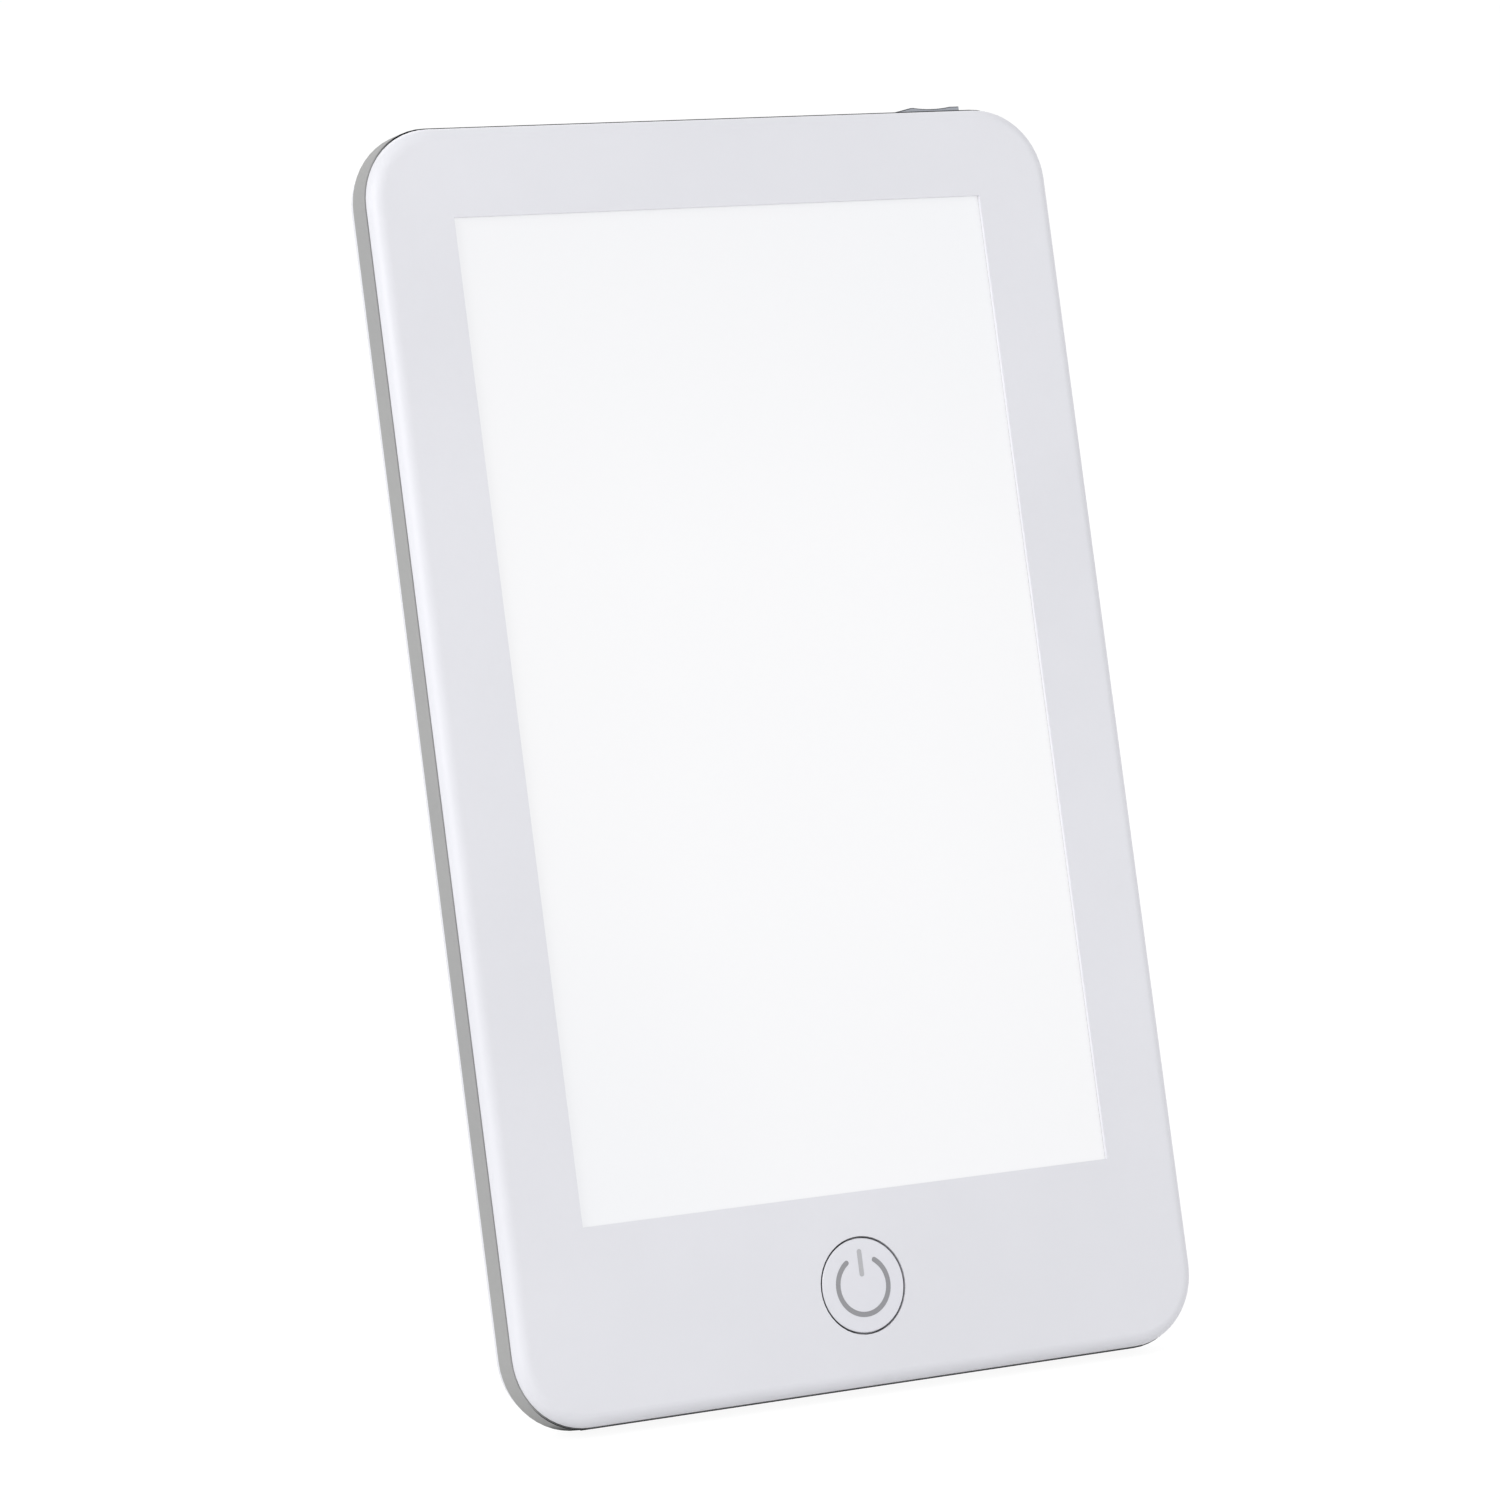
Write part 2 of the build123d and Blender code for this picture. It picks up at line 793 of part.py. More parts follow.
# ---------------------------------------------------------------- stand
def hinge_bracket():
    """Screwed plate with two pierced ears that carry the hinge pin."""
    bracket = plate(
        2 * bracket_half, bracket_length, recess_corner_radius,
        recess_floor_depth, bracket_thickness, y=bracket_bottom + bracket_length / 2,
    )
    arm_height = bracket_bottom + recess_corner_radius - pivot_height
    for side in (-1, 1):
        x = side * (ear_inner + ear_width / 2)
        bracket += plate(
            ear_width, arm_height, 0, recess_floor_depth, pivot_depth - recess_floor_depth,
            x=x, y=pivot_height + arm_height / 2,
        )
        bracket += across(hinge_barrel_radius, ear_width, x, pivot_height, pivot_depth)
        bracket -= across(
            pin_radius + pin_running_gap, ear_width + cut_past, x, pivot_height, pivot_depth
        )
    for x, y in hinge_screw_spots:
        bracket -= peg(
            small_screw_radius + case_screw_gap, recess_floor_depth, bracket_thickness, x, y
        )
    return bracket


def hinge_pin():
    """Steel pin through the ears, washers and leg barrel."""
    pin = across(pin_radius, 2 * bracket_half, 0, pivot_height, pivot_depth)
    return chamfer(pin.edges().filter_by(GeomType.CIRCLE), pin_radius / 4)


def friction_washers():
    """One spring washer each side of the leg's barrel."""
    rings = []
    for side in (-1, 1):
        x = side * (leg_neck_half + side_play + washer_thickness / 2)
        ring = across(pin_radius + washer_wall, washer_thickness, x, pivot_height, pivot_depth)
        rings.append(ring - across(
            pin_radius + pin_running_gap, 2 * washer_thickness, x, pivot_height, pivot_depth
        ))
    return Compound(rings)


def closed_leg():
    """Ribbed leg plate with its barrel and the stop heel, folded into the recess."""
    leg_length = leg_plate_top - leg_end_y
    leg = plate(
        leg_width, leg_length, leg_corner_radius, leg_inner_depth, leg_thickness,
        y=leg_end_y + leg_length / 2,
    )
    leg = chamfer(edges_at(leg, leg_outer_depth), leg_edge)
    cell_span = leg_length - 2 * leg_corner_radius
    cell_height = (cell_span - (leg_cell_rows - 1) * leg_rib) / leg_cell_rows
    cell_width = (leg_width - 2 * leg_corner_radius - leg_rib) / 2
    for column in (-1, 1):
        for row in range(leg_cell_rows):
            x = column * (cell_width + leg_rib) / 2
            y = leg_end_y + leg_corner_radius + cell_height / 2 + row * (cell_height + leg_rib)
            leg -= plate(
                cell_width, cell_height, leg_cell_corner,
                leg_inner_depth, leg_thickness - leg_skin, x=x, y=y,
            )
    neck_height = pivot_height - leg_plate_top + cut_past
    leg += plate(
        2 * leg_neck_half, neck_height, 0, leg_inner_depth, leg_thickness,
        y=pivot_height - neck_height / 2,
    )
    leg += across(hinge_barrel_radius, 2 * leg_neck_half, 0, pivot_height, pivot_depth)
    heel = plate(
        2 * leg_neck_half, heel_length, 0, leg_inner_depth, leg_thickness,
        y=pivot_height + heel_length / 2,
    )
    stop_face = recess_floor_depth + bracket_thickness + stop_gap
    under_stop = Pos(0, pivot_height, -stop_face + far / 2) * Box(far, far, far)
    pivot = Pos(0, pivot_height, -pivot_depth)
    heel -= pivot * Rot(-leg_open_angle, 0, 0) * pivot.inverse() * under_stop
    leg += heel
    return leg - across(
        pin_radius + pin_running_gap, 2 * leg_width, 0, pivot_height, pivot_depth
    )


def stand_leg():
    """The leg, swung out to its stop."""
    return opened(closed_leg())


def leg_foot_pad():
    """Rubber sole on the end of the leg, flat on the surface."""
    pad = plate(
        leg_width - 2 * pad_side_margin, 2 * pad_height, pad_corner,
        leg_inner_depth + pad_inset, leg_thickness - 2 * pad_inset, y=leg_end_y - pad_height,
    )
    return opened(pad) - ground_block()


# ---------------------------------------------------------------- assembly
def lying_pieces():
    """Every piece by name, in the lying lamp's frame."""
    return {
        "front_bezel": front_bezel(),
        "lens_tape": lens_tape(),
        "diffuser_lens": engine_sheet(lens_front, lens_thickness),
        "diffuser_film": engine_sheet(film_front, film_thickness),
        "light_guide": engine_sheet(guide_front, guide_thickness),
        "reflector_sheet": engine_sheet(reflector_front, reflector_thickness),
        "led_board_left": led_board(-1),
        "led_board_right": led_board(1),
        "leds_left": leds(-1),
        "leds_right": leds(1),
        "back_plate": back_plate(),
        "plate_screws": small_screws(plate_screw_spots, tray_back),
        "side_band": side_band(),
        "rear_cover": rear_cover(),
        "case_screws": case_screws(),
        "bottom_feet": bottom_feet(),
        "button_cap": button_cap(),
        "switch_plunger": switch_plunger(),
        "tact_switch": tact_switch(),
        "control_board": control_board(),
        "board_screws": small_screws(board_screw_spots, board_depth + board_thickness),
        "power_inductor": power_inductor(),
        "driver_chip": driver_chip(),
        "board_capacitors": board_capacitors(),
        "dc_jack": dc_jack(),
        "inlet_pin": inlet_pin(),
        "slide_key": slide_key(),
        "slide_switch": slide_switch(),
        "switch_board": switch_board(),
        "led_leads": led_leads(),
        "switch_leads": switch_leads(),
        "hinge_bracket": hinge_bracket(),
        "hinge_pin": hinge_pin(),
        "friction_washers": friction_washers(),
        "hinge_screws": small_screws(
            hinge_screw_spots, recess_floor_depth + bracket_thickness,
            bracket_thickness + recess_wall,
        ),
        "stand_leg": stand_leg(),
        "leg_foot_pad": leg_foot_pad(),
    }


def stand_up(pieces):
    """Lean the lamp back onto its leg and put the origin under the middle of its box."""
    leaned = {name: Rot(90 - lean_angle, 0, 0) * piece for name, piece in pieces.items()}
    middle = Compound(list(leaned.values())).bounding_box().center()
    shift = Pos(-middle.X, -middle.Y, -ground)
    return {name: shift * piece for name, piece in leaned.items()}, -middle.Y


def stood_point(y, depth, shift_y):
    """A point of the lying lamp once the lamp stands, as its Y and Z."""
    angle = radians(lean_angle)
    return y * sin(angle) + depth * cos(angle) + shift_y, row_height(y, depth) - ground


def main():
    os.makedirs("parts", exist_ok=True)
    pieces, shift_y = stand_up(lying_pieces())
    for name, piece in pieces.items():
        export_step(piece, f"parts/{name}.step")
    box = Compound(list(pieces.values())).bounding_box()
    print("lower corner", box.min, "upper corner", box.max)
    print("leg reach", round(leg_reach, 3), "closed tip at", round(pivot_height - leg_reach, 3))
    print("front lower edge stands at", stood_point(0, 0, shift_y))
    print("hinge pin stands at", stood_point(pivot_height, pivot_depth, shift_y))
    print("button stands at", stood_point(button_y, 0, shift_y))
    print("inlet stands at", stood_point(inlet_height, inlet_depth, shift_y))


main()
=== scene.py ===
# %% [markdown]
# # A tablet light therapy lamp
# The lamp is a thin slab of white moulding with a lit window. It leans back on a leg.
# A CAD model gives every hard piece its exact shape, so this script starts from that
# model, gives each piece its finish, and models the small things that CAD leaves plain.

# %% Load the frame
import bpy
import json
import math
from mathutils import Matrix, Vector

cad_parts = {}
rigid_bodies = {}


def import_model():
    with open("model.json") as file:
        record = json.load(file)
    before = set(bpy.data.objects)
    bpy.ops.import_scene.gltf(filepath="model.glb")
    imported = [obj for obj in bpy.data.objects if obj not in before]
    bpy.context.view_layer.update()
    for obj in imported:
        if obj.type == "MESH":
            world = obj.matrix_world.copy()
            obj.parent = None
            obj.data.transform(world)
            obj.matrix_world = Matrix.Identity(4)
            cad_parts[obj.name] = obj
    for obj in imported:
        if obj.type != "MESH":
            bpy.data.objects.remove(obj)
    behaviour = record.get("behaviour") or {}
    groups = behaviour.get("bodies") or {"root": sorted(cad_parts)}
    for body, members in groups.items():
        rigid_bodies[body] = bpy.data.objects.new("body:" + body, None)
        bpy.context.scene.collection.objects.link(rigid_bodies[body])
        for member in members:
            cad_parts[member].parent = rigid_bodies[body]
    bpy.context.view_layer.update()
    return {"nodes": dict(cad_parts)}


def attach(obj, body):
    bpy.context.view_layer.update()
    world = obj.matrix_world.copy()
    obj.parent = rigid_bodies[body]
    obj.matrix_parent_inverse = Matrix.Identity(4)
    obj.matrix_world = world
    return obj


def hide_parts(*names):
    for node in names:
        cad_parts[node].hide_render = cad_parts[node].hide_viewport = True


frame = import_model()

cad = frame["nodes"]
MM = 0.001
print("CAD pieces loaded:", len(cad))

# %% [markdown]
# ## Where the lamp is
# The lamp leans back by 14.6 degrees, so "along the lamp" isn't straight up. It is easier to
# think in the lamp's own directions: to the right, along the lamp, and out of its front.
# `lamp_point` turns a place measured on the lying lamp into a place in the room.

# %% The leaning plane
LEAN = math.radians(14.6)
RIGHT = Vector((1.0, 0.0, 0.0))
ALONG = Vector((0.0, math.sin(LEAN), math.cos(LEAN)))
OUT = Vector((0.0, -math.cos(LEAN), math.sin(LEAN)))
LOWER_EDGE = Vector((0.0, -33.5653, 2.4300)) * MM
TOTAL_DEPTH = 12.2


def lamp_point(x, y, depth):
    """A place X to the right, Y along the lamp and DEPTH behind its front, all in millimetres."""
    return LOWER_EDGE + (RIGHT * x + ALONG * y - OUT * depth) * MM


WINDOW_WIDTH = 105.8
WINDOW_HEIGHT = 172.6
WINDOW_BOTTOM = 33.4
window_centre = lamp_point(0.0, WINDOW_BOTTOM + WINDOW_HEIGHT / 2, 0.0)
print("window centre:", [round(v, 4) for v in window_centre])

# %% [markdown]
# ## Camera
# A long lens from the left and a little above keeps the edges nearly parallel, as in a
# catalogue picture. The camera is placed by two angles and a distance, and then slid sideways
# so that the window sits where it should in the square picture.

# %% Place the camera
ORBIT = math.radians(30.592)
RISE = math.radians(8.850)
DISTANCE = 1132.725482 * MM
SLIDE_RIGHT = 6.355787 * MM
SLIDE_UP = 9.230584 * MM
SENSOR_WIDTH = 36.0
FOCAL_LENGTH = 157.07

towards_camera = Vector((
    -math.sin(ORBIT) * math.cos(RISE),
    -math.cos(ORBIT) * math.cos(RISE),
    math.sin(RISE),
))
view_right = Vector((math.cos(ORBIT), -math.sin(ORBIT), 0.0))
view_up = view_right.cross(-towards_camera)
camera_data = bpy.data.cameras.new("studio_camera")
camera_data.sensor_width = SENSOR_WIDTH
camera_data.lens = FOCAL_LENGTH
camera = bpy.data.objects.new("studio_camera", camera_data)
bpy.context.scene.collection.objects.link(camera)
camera_place = window_centre + towards_camera * DISTANCE
camera_place -= view_right * SLIDE_RIGHT + view_up * SLIDE_UP
turn = Matrix((view_right, view_up, towards_camera)).transposed().to_4x4()
camera.matrix_world = Matrix.Translation(camera_place) @ turn
bpy.context.scene.camera = camera
bpy.context.scene.view_settings.view_transform = "Standard"
print("camera at:", [round(v, 3) for v in camera_place])

# %% [markdown]
# ## Small helpers for nodes
# Materials here are built from nodes in code, and a few short helpers keep that readable.
# `put` adds a node with its settings, `feed` links or sets one socket, and `paint` turns a
# colour as it reads on a screen (0 to 255) into the linear numbers that a shader works with.
# The others each add one common node: a sum, a stretched value, a mix, a distance.

# %% Node helpers
def put(tree, kind, **settings):
    """Add a node of one KIND to a node tree and set what is given."""
    node = tree.nodes.new(kind)
    for name, value in settings.items():
        setattr(node, name, value)
    return node


def linear(value):
    """One screen value from 0 to 255 as linear light."""
    level = value / 255.0
    if level <= 0.04045:
        return level / 12.92
    return ((level + 0.055) / 1.055) ** 2.4


def paint(red, green, blue):
    """A screen colour as the four linear numbers of a colour socket."""
    return (linear(red), linear(green), linear(blue), 1.0)


def feed(tree, socket, value):
    """Link VALUE to a socket if it is a socket itself, or set it as the socket's own number."""
    if isinstance(value, bpy.types.NodeSocket):
        tree.links.new(value, socket)
    else:
        socket.default_value = value


def sums(tree, operation, first, second=None):
    """One Math node."""
    node = put(tree, "ShaderNodeMath", operation=operation)
    feed(tree, node.inputs[0], first)
    if second is not None:
        feed(tree, node.inputs[1], second)
    return node.outputs[0]


def ramped(tree, value, low, high, to_low=0.0, to_high=1.0):
    """VALUE stretched from LOW..HIGH to TO_LOW..TO_HIGH and held there."""
    node = put(tree, "ShaderNodeMapRange")
    feed(tree, node.inputs["Value"], value)
    feed(tree, node.inputs["From Min"], low)
    feed(tree, node.inputs["From Max"], high)
    feed(tree, node.inputs["To Min"], to_low)
    feed(tree, node.inputs["To Max"], to_high)
    return node.outputs["Result"]


def mixed(tree, share, first, second):
    """Two colours mixed by a share from 0 to 1."""
    node = put(tree, "ShaderNodeMix", data_type="RGBA")
    feed(tree, node.inputs[0], share)
    feed(tree, node.inputs[6], first)
    feed(tree, node.inputs[7], second)
    return node.outputs[2]


def along_axis(tree, place, axis):
    """How far a place lies along one direction."""
    node = put(tree, "ShaderNodeVectorMath", operation="DOT_PRODUCT")
    feed(tree, node.inputs[0], place)
    node.inputs[1].default_value = axis
    return node.outputs["Value"]


# %% [markdown]
# ## Effects shared by many finishes
# Mould makers spark-erode or blast the tool, so a plastic face carries a fine grain. Paint and
# plastic are never one even tone over a big area. Rolled or turned metal shows fine lines.
# Each of these is a shader node group with named sockets, built once and then placed in every
# material that needs it, with its own scale and depth.

# %% A group to build groups
def new_group(name, takes, gives):
    """An empty shader node group with its named sockets."""
    group = bpy.data.node_groups.new(name, "ShaderNodeTree")
    for label, kind, value in takes:
        socket = group.interface.new_socket(name=label, in_out="INPUT", socket_type=kind)
        if value is not None:
            socket.default_value = value
    for label, kind in gives:
        group.interface.new_socket(name=label, in_out="OUTPUT", socket_type=kind)
    source = group.nodes.new("NodeGroupInput").outputs
    target = group.nodes.new("NodeGroupOutput").inputs
    return group, source, target


def noise_value(tree, place, scale, detail=2.0, rough=0.5):
    """One noise texture's value."""
    node = put(tree, "ShaderNodeTexNoise")
    feed(tree, node.inputs["Vector"], place)
    feed(tree, node.inputs["Scale"], scale)
    node.inputs["Detail"].default_value = detail
    node.inputs["Roughness"].default_value = rough
    return node.outputs["Fac"]


# %% Mould grain
VECTOR = "NodeSocketVector"
FLOAT = "NodeSocketFloat"
COLOUR = "NodeSocketColor"

mould_grain, took, gave = new_group(
    "mould_grain",
    [
        ("Place", VECTOR, None),
        ("Grain per metre", FLOAT, 3000.0),
        ("Smooth", FLOAT, 0.35),
        ("Rough", FLOAT, 0.5),
    ],
    [("Height", FLOAT), ("Roughness", FLOAT)],
)
grain_fine = noise_value(mould_grain, took["Place"], took["Grain per metre"], 3.0, 0.6)
grain_cells = put(mould_grain, "ShaderNodeTexVoronoi", feature="SMOOTH_F1")
feed(mould_grain, grain_cells.inputs["Vector"], took["Place"])
cells_per_metre = sums(mould_grain, "MULTIPLY", took["Grain per metre"], 0.6)
feed(mould_grain, grain_cells.inputs["Scale"], cells_per_metre)
grain_sum = sums(mould_grain, "ADD", grain_fine, grain_cells.outputs["Distance"])
grain_height = sums(mould_grain, "MULTIPLY", grain_sum, 0.5)
feed(mould_grain, gave["Height"], grain_height)
feed(
    mould_grain, gave["Roughness"],
    ramped(mould_grain, grain_height, 0.3, 0.7, took["Smooth"], took["Rough"]),
)
print("group:", mould_grain.name)

# %% Slow drift of tone
tone_drift, took, gave = new_group(
    "tone_drift",
    [
        ("Place", VECTOR, None),
        ("Patches per metre", FLOAT, 18.0),
        ("Tone", COLOUR, (0.8, 0.8, 0.8, 1.0)),
        ("Other tone", COLOUR, (0.75, 0.75, 0.75, 1.0)),
    ],
    [("Colour", COLOUR)],
)
drift = noise_value(tone_drift, took["Place"], took["Patches per metre"], 3.0, 0.55)
feed(
    tone_drift, gave["Colour"],
    mixed(tone_drift, ramped(tone_drift, drift, 0.38, 0.64), took["Tone"], took["Other tone"]),
)
print("group:", tone_drift.name)

# %% Fine lines of drawn or rolled metal
drawn_lines, took, gave = new_group(
    "drawn_lines",
    [
        ("Place", VECTOR, None),
        ("Stretch", VECTOR, (40.0, 4000.0, 4000.0)),
        ("Smooth", FLOAT, 0.25),
        ("Rough", FLOAT, 0.45),
    ],
    [("Height", FLOAT), ("Roughness", FLOAT)],
)
line_place = put(drawn_lines, "ShaderNodeVectorMath", operation="MULTIPLY")
feed(drawn_lines, line_place.inputs[0], took["Place"])
feed(drawn_lines, line_place.inputs[1], took["Stretch"])
line_noise = noise_value(drawn_lines, line_place.outputs["Vector"], 1.0, 4.0, 0.65)
feed(drawn_lines, gave["Height"], line_noise)
feed(
    drawn_lines, gave["Roughness"],
    ramped(drawn_lines, line_noise, 0.3, 0.7, took["Smooth"], took["Rough"]),
)
print("group:", drawn_lines.name)

# %% Smudges from handling
handling, took, gave = new_group(
    "handling",
    [
        ("Place", VECTOR, None),
        ("Smudges per metre", FLOAT, 55.0),
        ("Roughness", FLOAT, 0.4),
        ("Polish", FLOAT, 0.06),
    ],
    [("Roughness", FLOAT), ("Mask", FLOAT)],
)
smudge = noise_value(handling, took["Place"], took["Smudges per metre"], 4.0, 0.6)
smudge_mask = ramped(handling, smudge, 0.5, 0.72)
less_rough = sums(handling, "MULTIPLY", smudge_mask, took["Polish"])
feed(handling, gave["Mask"], smudge_mask)
feed(handling, gave["Roughness"], sums(handling, "SUBTRACT", took["Roughness"], less_rough))
print("group:", handling.name)


# %% [markdown]
# ## Starting a finish
# Every finish has the same start: a Principled shader, the place on the piece in metres
# (Object coordinates, so that the grain has one real size on every piece), and the groups
# from above placed with this finish's own values. The bump's distance is a real height in
# metres: a satin mould grain is only a few thousandths of a millimetre deep.

# %% Finish helpers
def new_finish(name):
    """A material with its shader and the place on the piece."""
    finish = bpy.data.materials.new(name)
    finish.use_nodes = True
    tree = finish.node_tree
    shader = next(n for n in tree.nodes if n.type == "BSDF_PRINCIPLED")
    place = put(tree, "ShaderNodeTexCoord").outputs["Object"]
    return finish, tree, shader, place


def place_group(tree, group, **values):
    """Place a shared group. Socket names are given with _ for a space."""
    node = put(tree, "ShaderNodeGroup", node_tree=group)
    for name, value in values.items():
        feed(tree, node.inputs[name.replace("_", " ")], value)
    return node.outputs


def raise_surface(tree, shader, height, metres):
    """Bump the shader's normal by a height map that is METRES deep."""
    bump = put(tree, "ShaderNodeBump")
    bump.inputs["Distance"].default_value = metres
    feed(tree, bump.inputs["Height"], height)
    feed(tree, shader.inputs["Normal"], bump.outputs["Normal"])


def moulded(name, tone, other_tone, grain, depth, smooth, rough, polish=0.05):
    """A moulded plastic: fine grain, slow drift of tone, and smudges from handling."""
    finish, tree, shader, place = new_finish(name)
    grains = place_group(
        tree, mould_grain, Place=place, Grain_per_metre=grain, Smooth=smooth, Rough=rough
    )
    tones = place_group(tree, tone_drift, Place=place, Tone=tone, Other_tone=other_tone)
    touched = place_group(
        tree, handling, Place=place, Roughness=grains["Roughness"], Polish=polish
    )
    feed(tree, shader.inputs["Base Color"], tones["Colour"])
    feed(tree, shader.inputs["Roughness"], touched["Roughness"])
    raise_surface(tree, shader, grains["Height"], depth)
    return finish


def drawn_metal(name, tone, other_tone, stretch, smooth, rough, depth=4e-6):
    """A metal with fine lines along one direction."""
    finish, tree, shader, place = new_finish(name)
    shader.inputs["Metallic"].default_value = 1.0
    lines = place_group(
        tree, drawn_lines, Place=place, Stretch=stretch, Smooth=smooth, Rough=rough
    )
    tones = place_group(
        tree, tone_drift, Place=place, Patches_per_metre=160.0, Tone=tone, Other_tone=other_tone
    )
    feed(tree, shader.inputs["Base Color"], tones["Colour"])
    feed(tree, shader.inputs["Roughness"], lines["Roughness"])
    raise_surface(tree, shader, lines["Height"], depth)
    return finish


# %% [markdown]
# ## Mouldings
# The two shells are the same satin white ABS. The band between them, the key in it and the
# leg are grey. The leg has the coarser spark grain that hides scratches where hands and
# tables touch it. The rubber of the feet is almost matt, with a trace of dust in its pits.

# %% Mouldings
satin_white = moulded(
    "satin_white_shell", paint(231, 231, 236), paint(228, 228, 233), 3200.0, 7e-6, 0.40, 0.52
)
button_white = moulded(
    "button_white", paint(231, 231, 236), paint(228, 228, 234), 3800.0, 5e-6, 0.36, 0.47, 0.09
)
key_grey = moulded(
    "satin_grey_key", paint(164, 168, 176), paint(156, 160, 168), 3600.0, 5e-6, 0.28, 0.40, 0.1
)
leg_grey = moulded(
    "spark_grey_leg", paint(170, 172, 177), paint(163, 165, 171), 1500.0, 2.2e-5, 0.50, 0.68
)
foot_rubber = moulded(
    "foot_rubber", paint(58, 59, 61), paint(70, 70, 72), 1200.0, 3e-5, 0.72, 0.92, 0.1
)
black_plastic = moulded(
    "black_plastic", paint(32, 32, 34), paint(40, 40, 42), 2400.0, 1.2e-5, 0.40, 0.58
)
tape_white = moulded(
    "foam_tape", paint(205, 205, 206), paint(196, 196, 198), 5200.0, 2e-5, 0.75, 0.9, 0.0
)
lead_white = moulded(
    "lead_sleeve", paint(224, 224, 222), paint(214, 214, 212), 4000.0, 6e-6, 0.42, 0.55
)
film_white = moulded(
    "white_film", paint(242, 243, 245), paint(238, 239, 242), 6000.0, 4e-6, 0.30, 0.42, 0.0
)
inductor_grey = moulded(
    "ferrite_grey", paint(72, 72, 74), paint(60, 60, 62), 2600.0, 2.2e-5, 0.55, 0.75
)
print("mouldings done")

# %% [markdown]
# ## Painted shade that follows the shape
# The band, the key and the button need one thing more: shade painted into their colour. The
# band's thin front lip, next to the front shell, is painted with a dark shadow line, its
# underside is painted dark as shade, and the key's bevelled edge is painted darker as shade.
# The direction that a face looks in finds each of them. A mask for each lays one more tone
# over the colour that the finish already has. A second mask along the width leaves the
# painted shadow line out of the left-hand lip. The band's sheen is a thin coat, and the
# shaded underside has none. The button's side wall is painted grey as shade in the gap round
# it, so that the gap reads as one even line from every side.

# %% Masks from the direction of a face
def shader_of(finish):
    """The Principled shader of a finish."""
    return next(n for n in finish.node_tree.nodes if n.type == "BSDF_PRINCIPLED")


def facing_along(tree, way):
    """How far a face looks along WAY: 1 is straight along it, and 0 is across it."""
    facing = put(tree, "ShaderNodeNewGeometry").outputs["Normal"]
    return along_axis(tree, facing, way)


def faces_toward(tree, way, start, end):
    """Mask of the faces that look along WAY."""
    return ramped(tree, facing_along(tree, way), start, end)


def lay_tone(finish, mask, tone):
    """Lay TONE over the finish's own colour where MASK is 1."""
    tree = finish.node_tree
    base = shader_of(finish).inputs["Base Color"]
    feed(tree, base, mixed(tree, mask, base.links[0].from_socket, tone))


# %% Painted shade on the band's lip and underside
band_grey = moulded(
    "satin_grey_band", paint(168, 168, 167), paint(163, 163, 163), 3000.0, 7e-6, 0.40, 0.52
)
band_tree = band_grey.node_tree
band_shader = shader_of(band_grey)
# Painted shadow line on the band's front lip: the faces that look along lip_way are laid near
# black.
lip_way = (OUT + ALONG * 0.8 + RIGHT * 0.4).normalized()
lip_shadow_mask = faces_toward(band_tree, lip_way, 0.62, 0.74)
band_place = put(band_tree, "ShaderNodeTexCoord").outputs["Object"]
from_left = along_axis(band_tree, band_place, RIGHT)
# The painted shadow line is left out along the left-hand side of the band.
not_left = ramped(band_tree, from_left, -66.0 * MM, -61.0 * MM)
lay_tone(band_grey, sums(band_tree, "MULTIPLY", lip_shadow_mask, not_left), paint(22, 23, 26))
# Painted shade on the band's underside: faces that look down and out are laid almost black.
under_way = (OUT * 0.7 - ALONG).normalized()
underside_shade_mask = faces_toward(band_tree, under_way, 0.72, 0.84)
lay_tone(band_grey, underside_shade_mask, paint(18, 22, 26))
# The band has no specular; its sheen is a thin coat, left off where the underside shade is painted.
band_shader.inputs["Specular IOR Level"].default_value = 0.0
band_shader.inputs["Coat Roughness"].default_value = 0.35
feed(band_tree, band_shader.inputs["Coat Weight"], ramped(band_tree, underside_shade_mask, 0.0, 0.6, 0.2, 0.0))
print("finish:", band_grey.name)

# %% Painted shade on the key's edge and the button's side wall
# Painted shade on the key: its edge that looks up and out is laid dark blue-grey.
key_edge_way = (OUT * 0.6 + ALONG).normalized()
lay_tone(key_grey, faces_toward(key_grey.node_tree, key_edge_way, 0.78, 0.95), paint(46, 50, 60))
# Painted shade in the button's gap: the button's side wall is laid grey, so the gap reads as one
# even dark line.
button_tree = button_white.node_tree
front_or_back = sums(button_tree, "ABSOLUTE", facing_along(button_tree, OUT))
gap_shade_mask = ramped(button_tree, front_or_back, 0.2, 0.5, 1.0, 0.0)
lay_tone(button_white, gap_shade_mask, paint(104, 104, 108))
print("tones laid over:", key_grey.name, "and", button_white.name)

# %% [markdown]
# ## Metals
# The tray behind the light guide is rolled aluminium, so its lines run along the sheet. Pins
# and washers are turned steel. The bracket is bent from zinc-plated strip, which shows a
# faint pattern of crystals, and the inlet's pin is nickel-plated brass.

# %% Metals
rolled_aluminium = drawn_metal(
    "rolled_aluminium", paint(205, 207, 210), paint(190, 192, 196), (4000.0, 60.0, 60.0), 0.28, 0.46
)
turned_steel = drawn_metal(
    "turned_steel", paint(176, 177, 180), paint(160, 161, 165), (4000.0, 90.0, 90.0), 0.20, 0.36
)
screw_steel = drawn_metal(
    "screw_steel", paint(150, 151, 155), paint(128, 129, 134), (1500.0, 1500.0, 1500.0), 0.26, 0.42
)
pin_brass = drawn_metal(
    "nickelled_brass", paint(214, 208, 190), paint(202, 190, 160), (3000.0, 120.0, 120.0), 0.16, 0.3
)
can_aluminium = drawn_metal(
    "can_aluminium", paint(206, 208, 211), paint(196, 198, 202), (900.0, 900.0, 120.0), 0.22, 0.36
)
print("metals done")


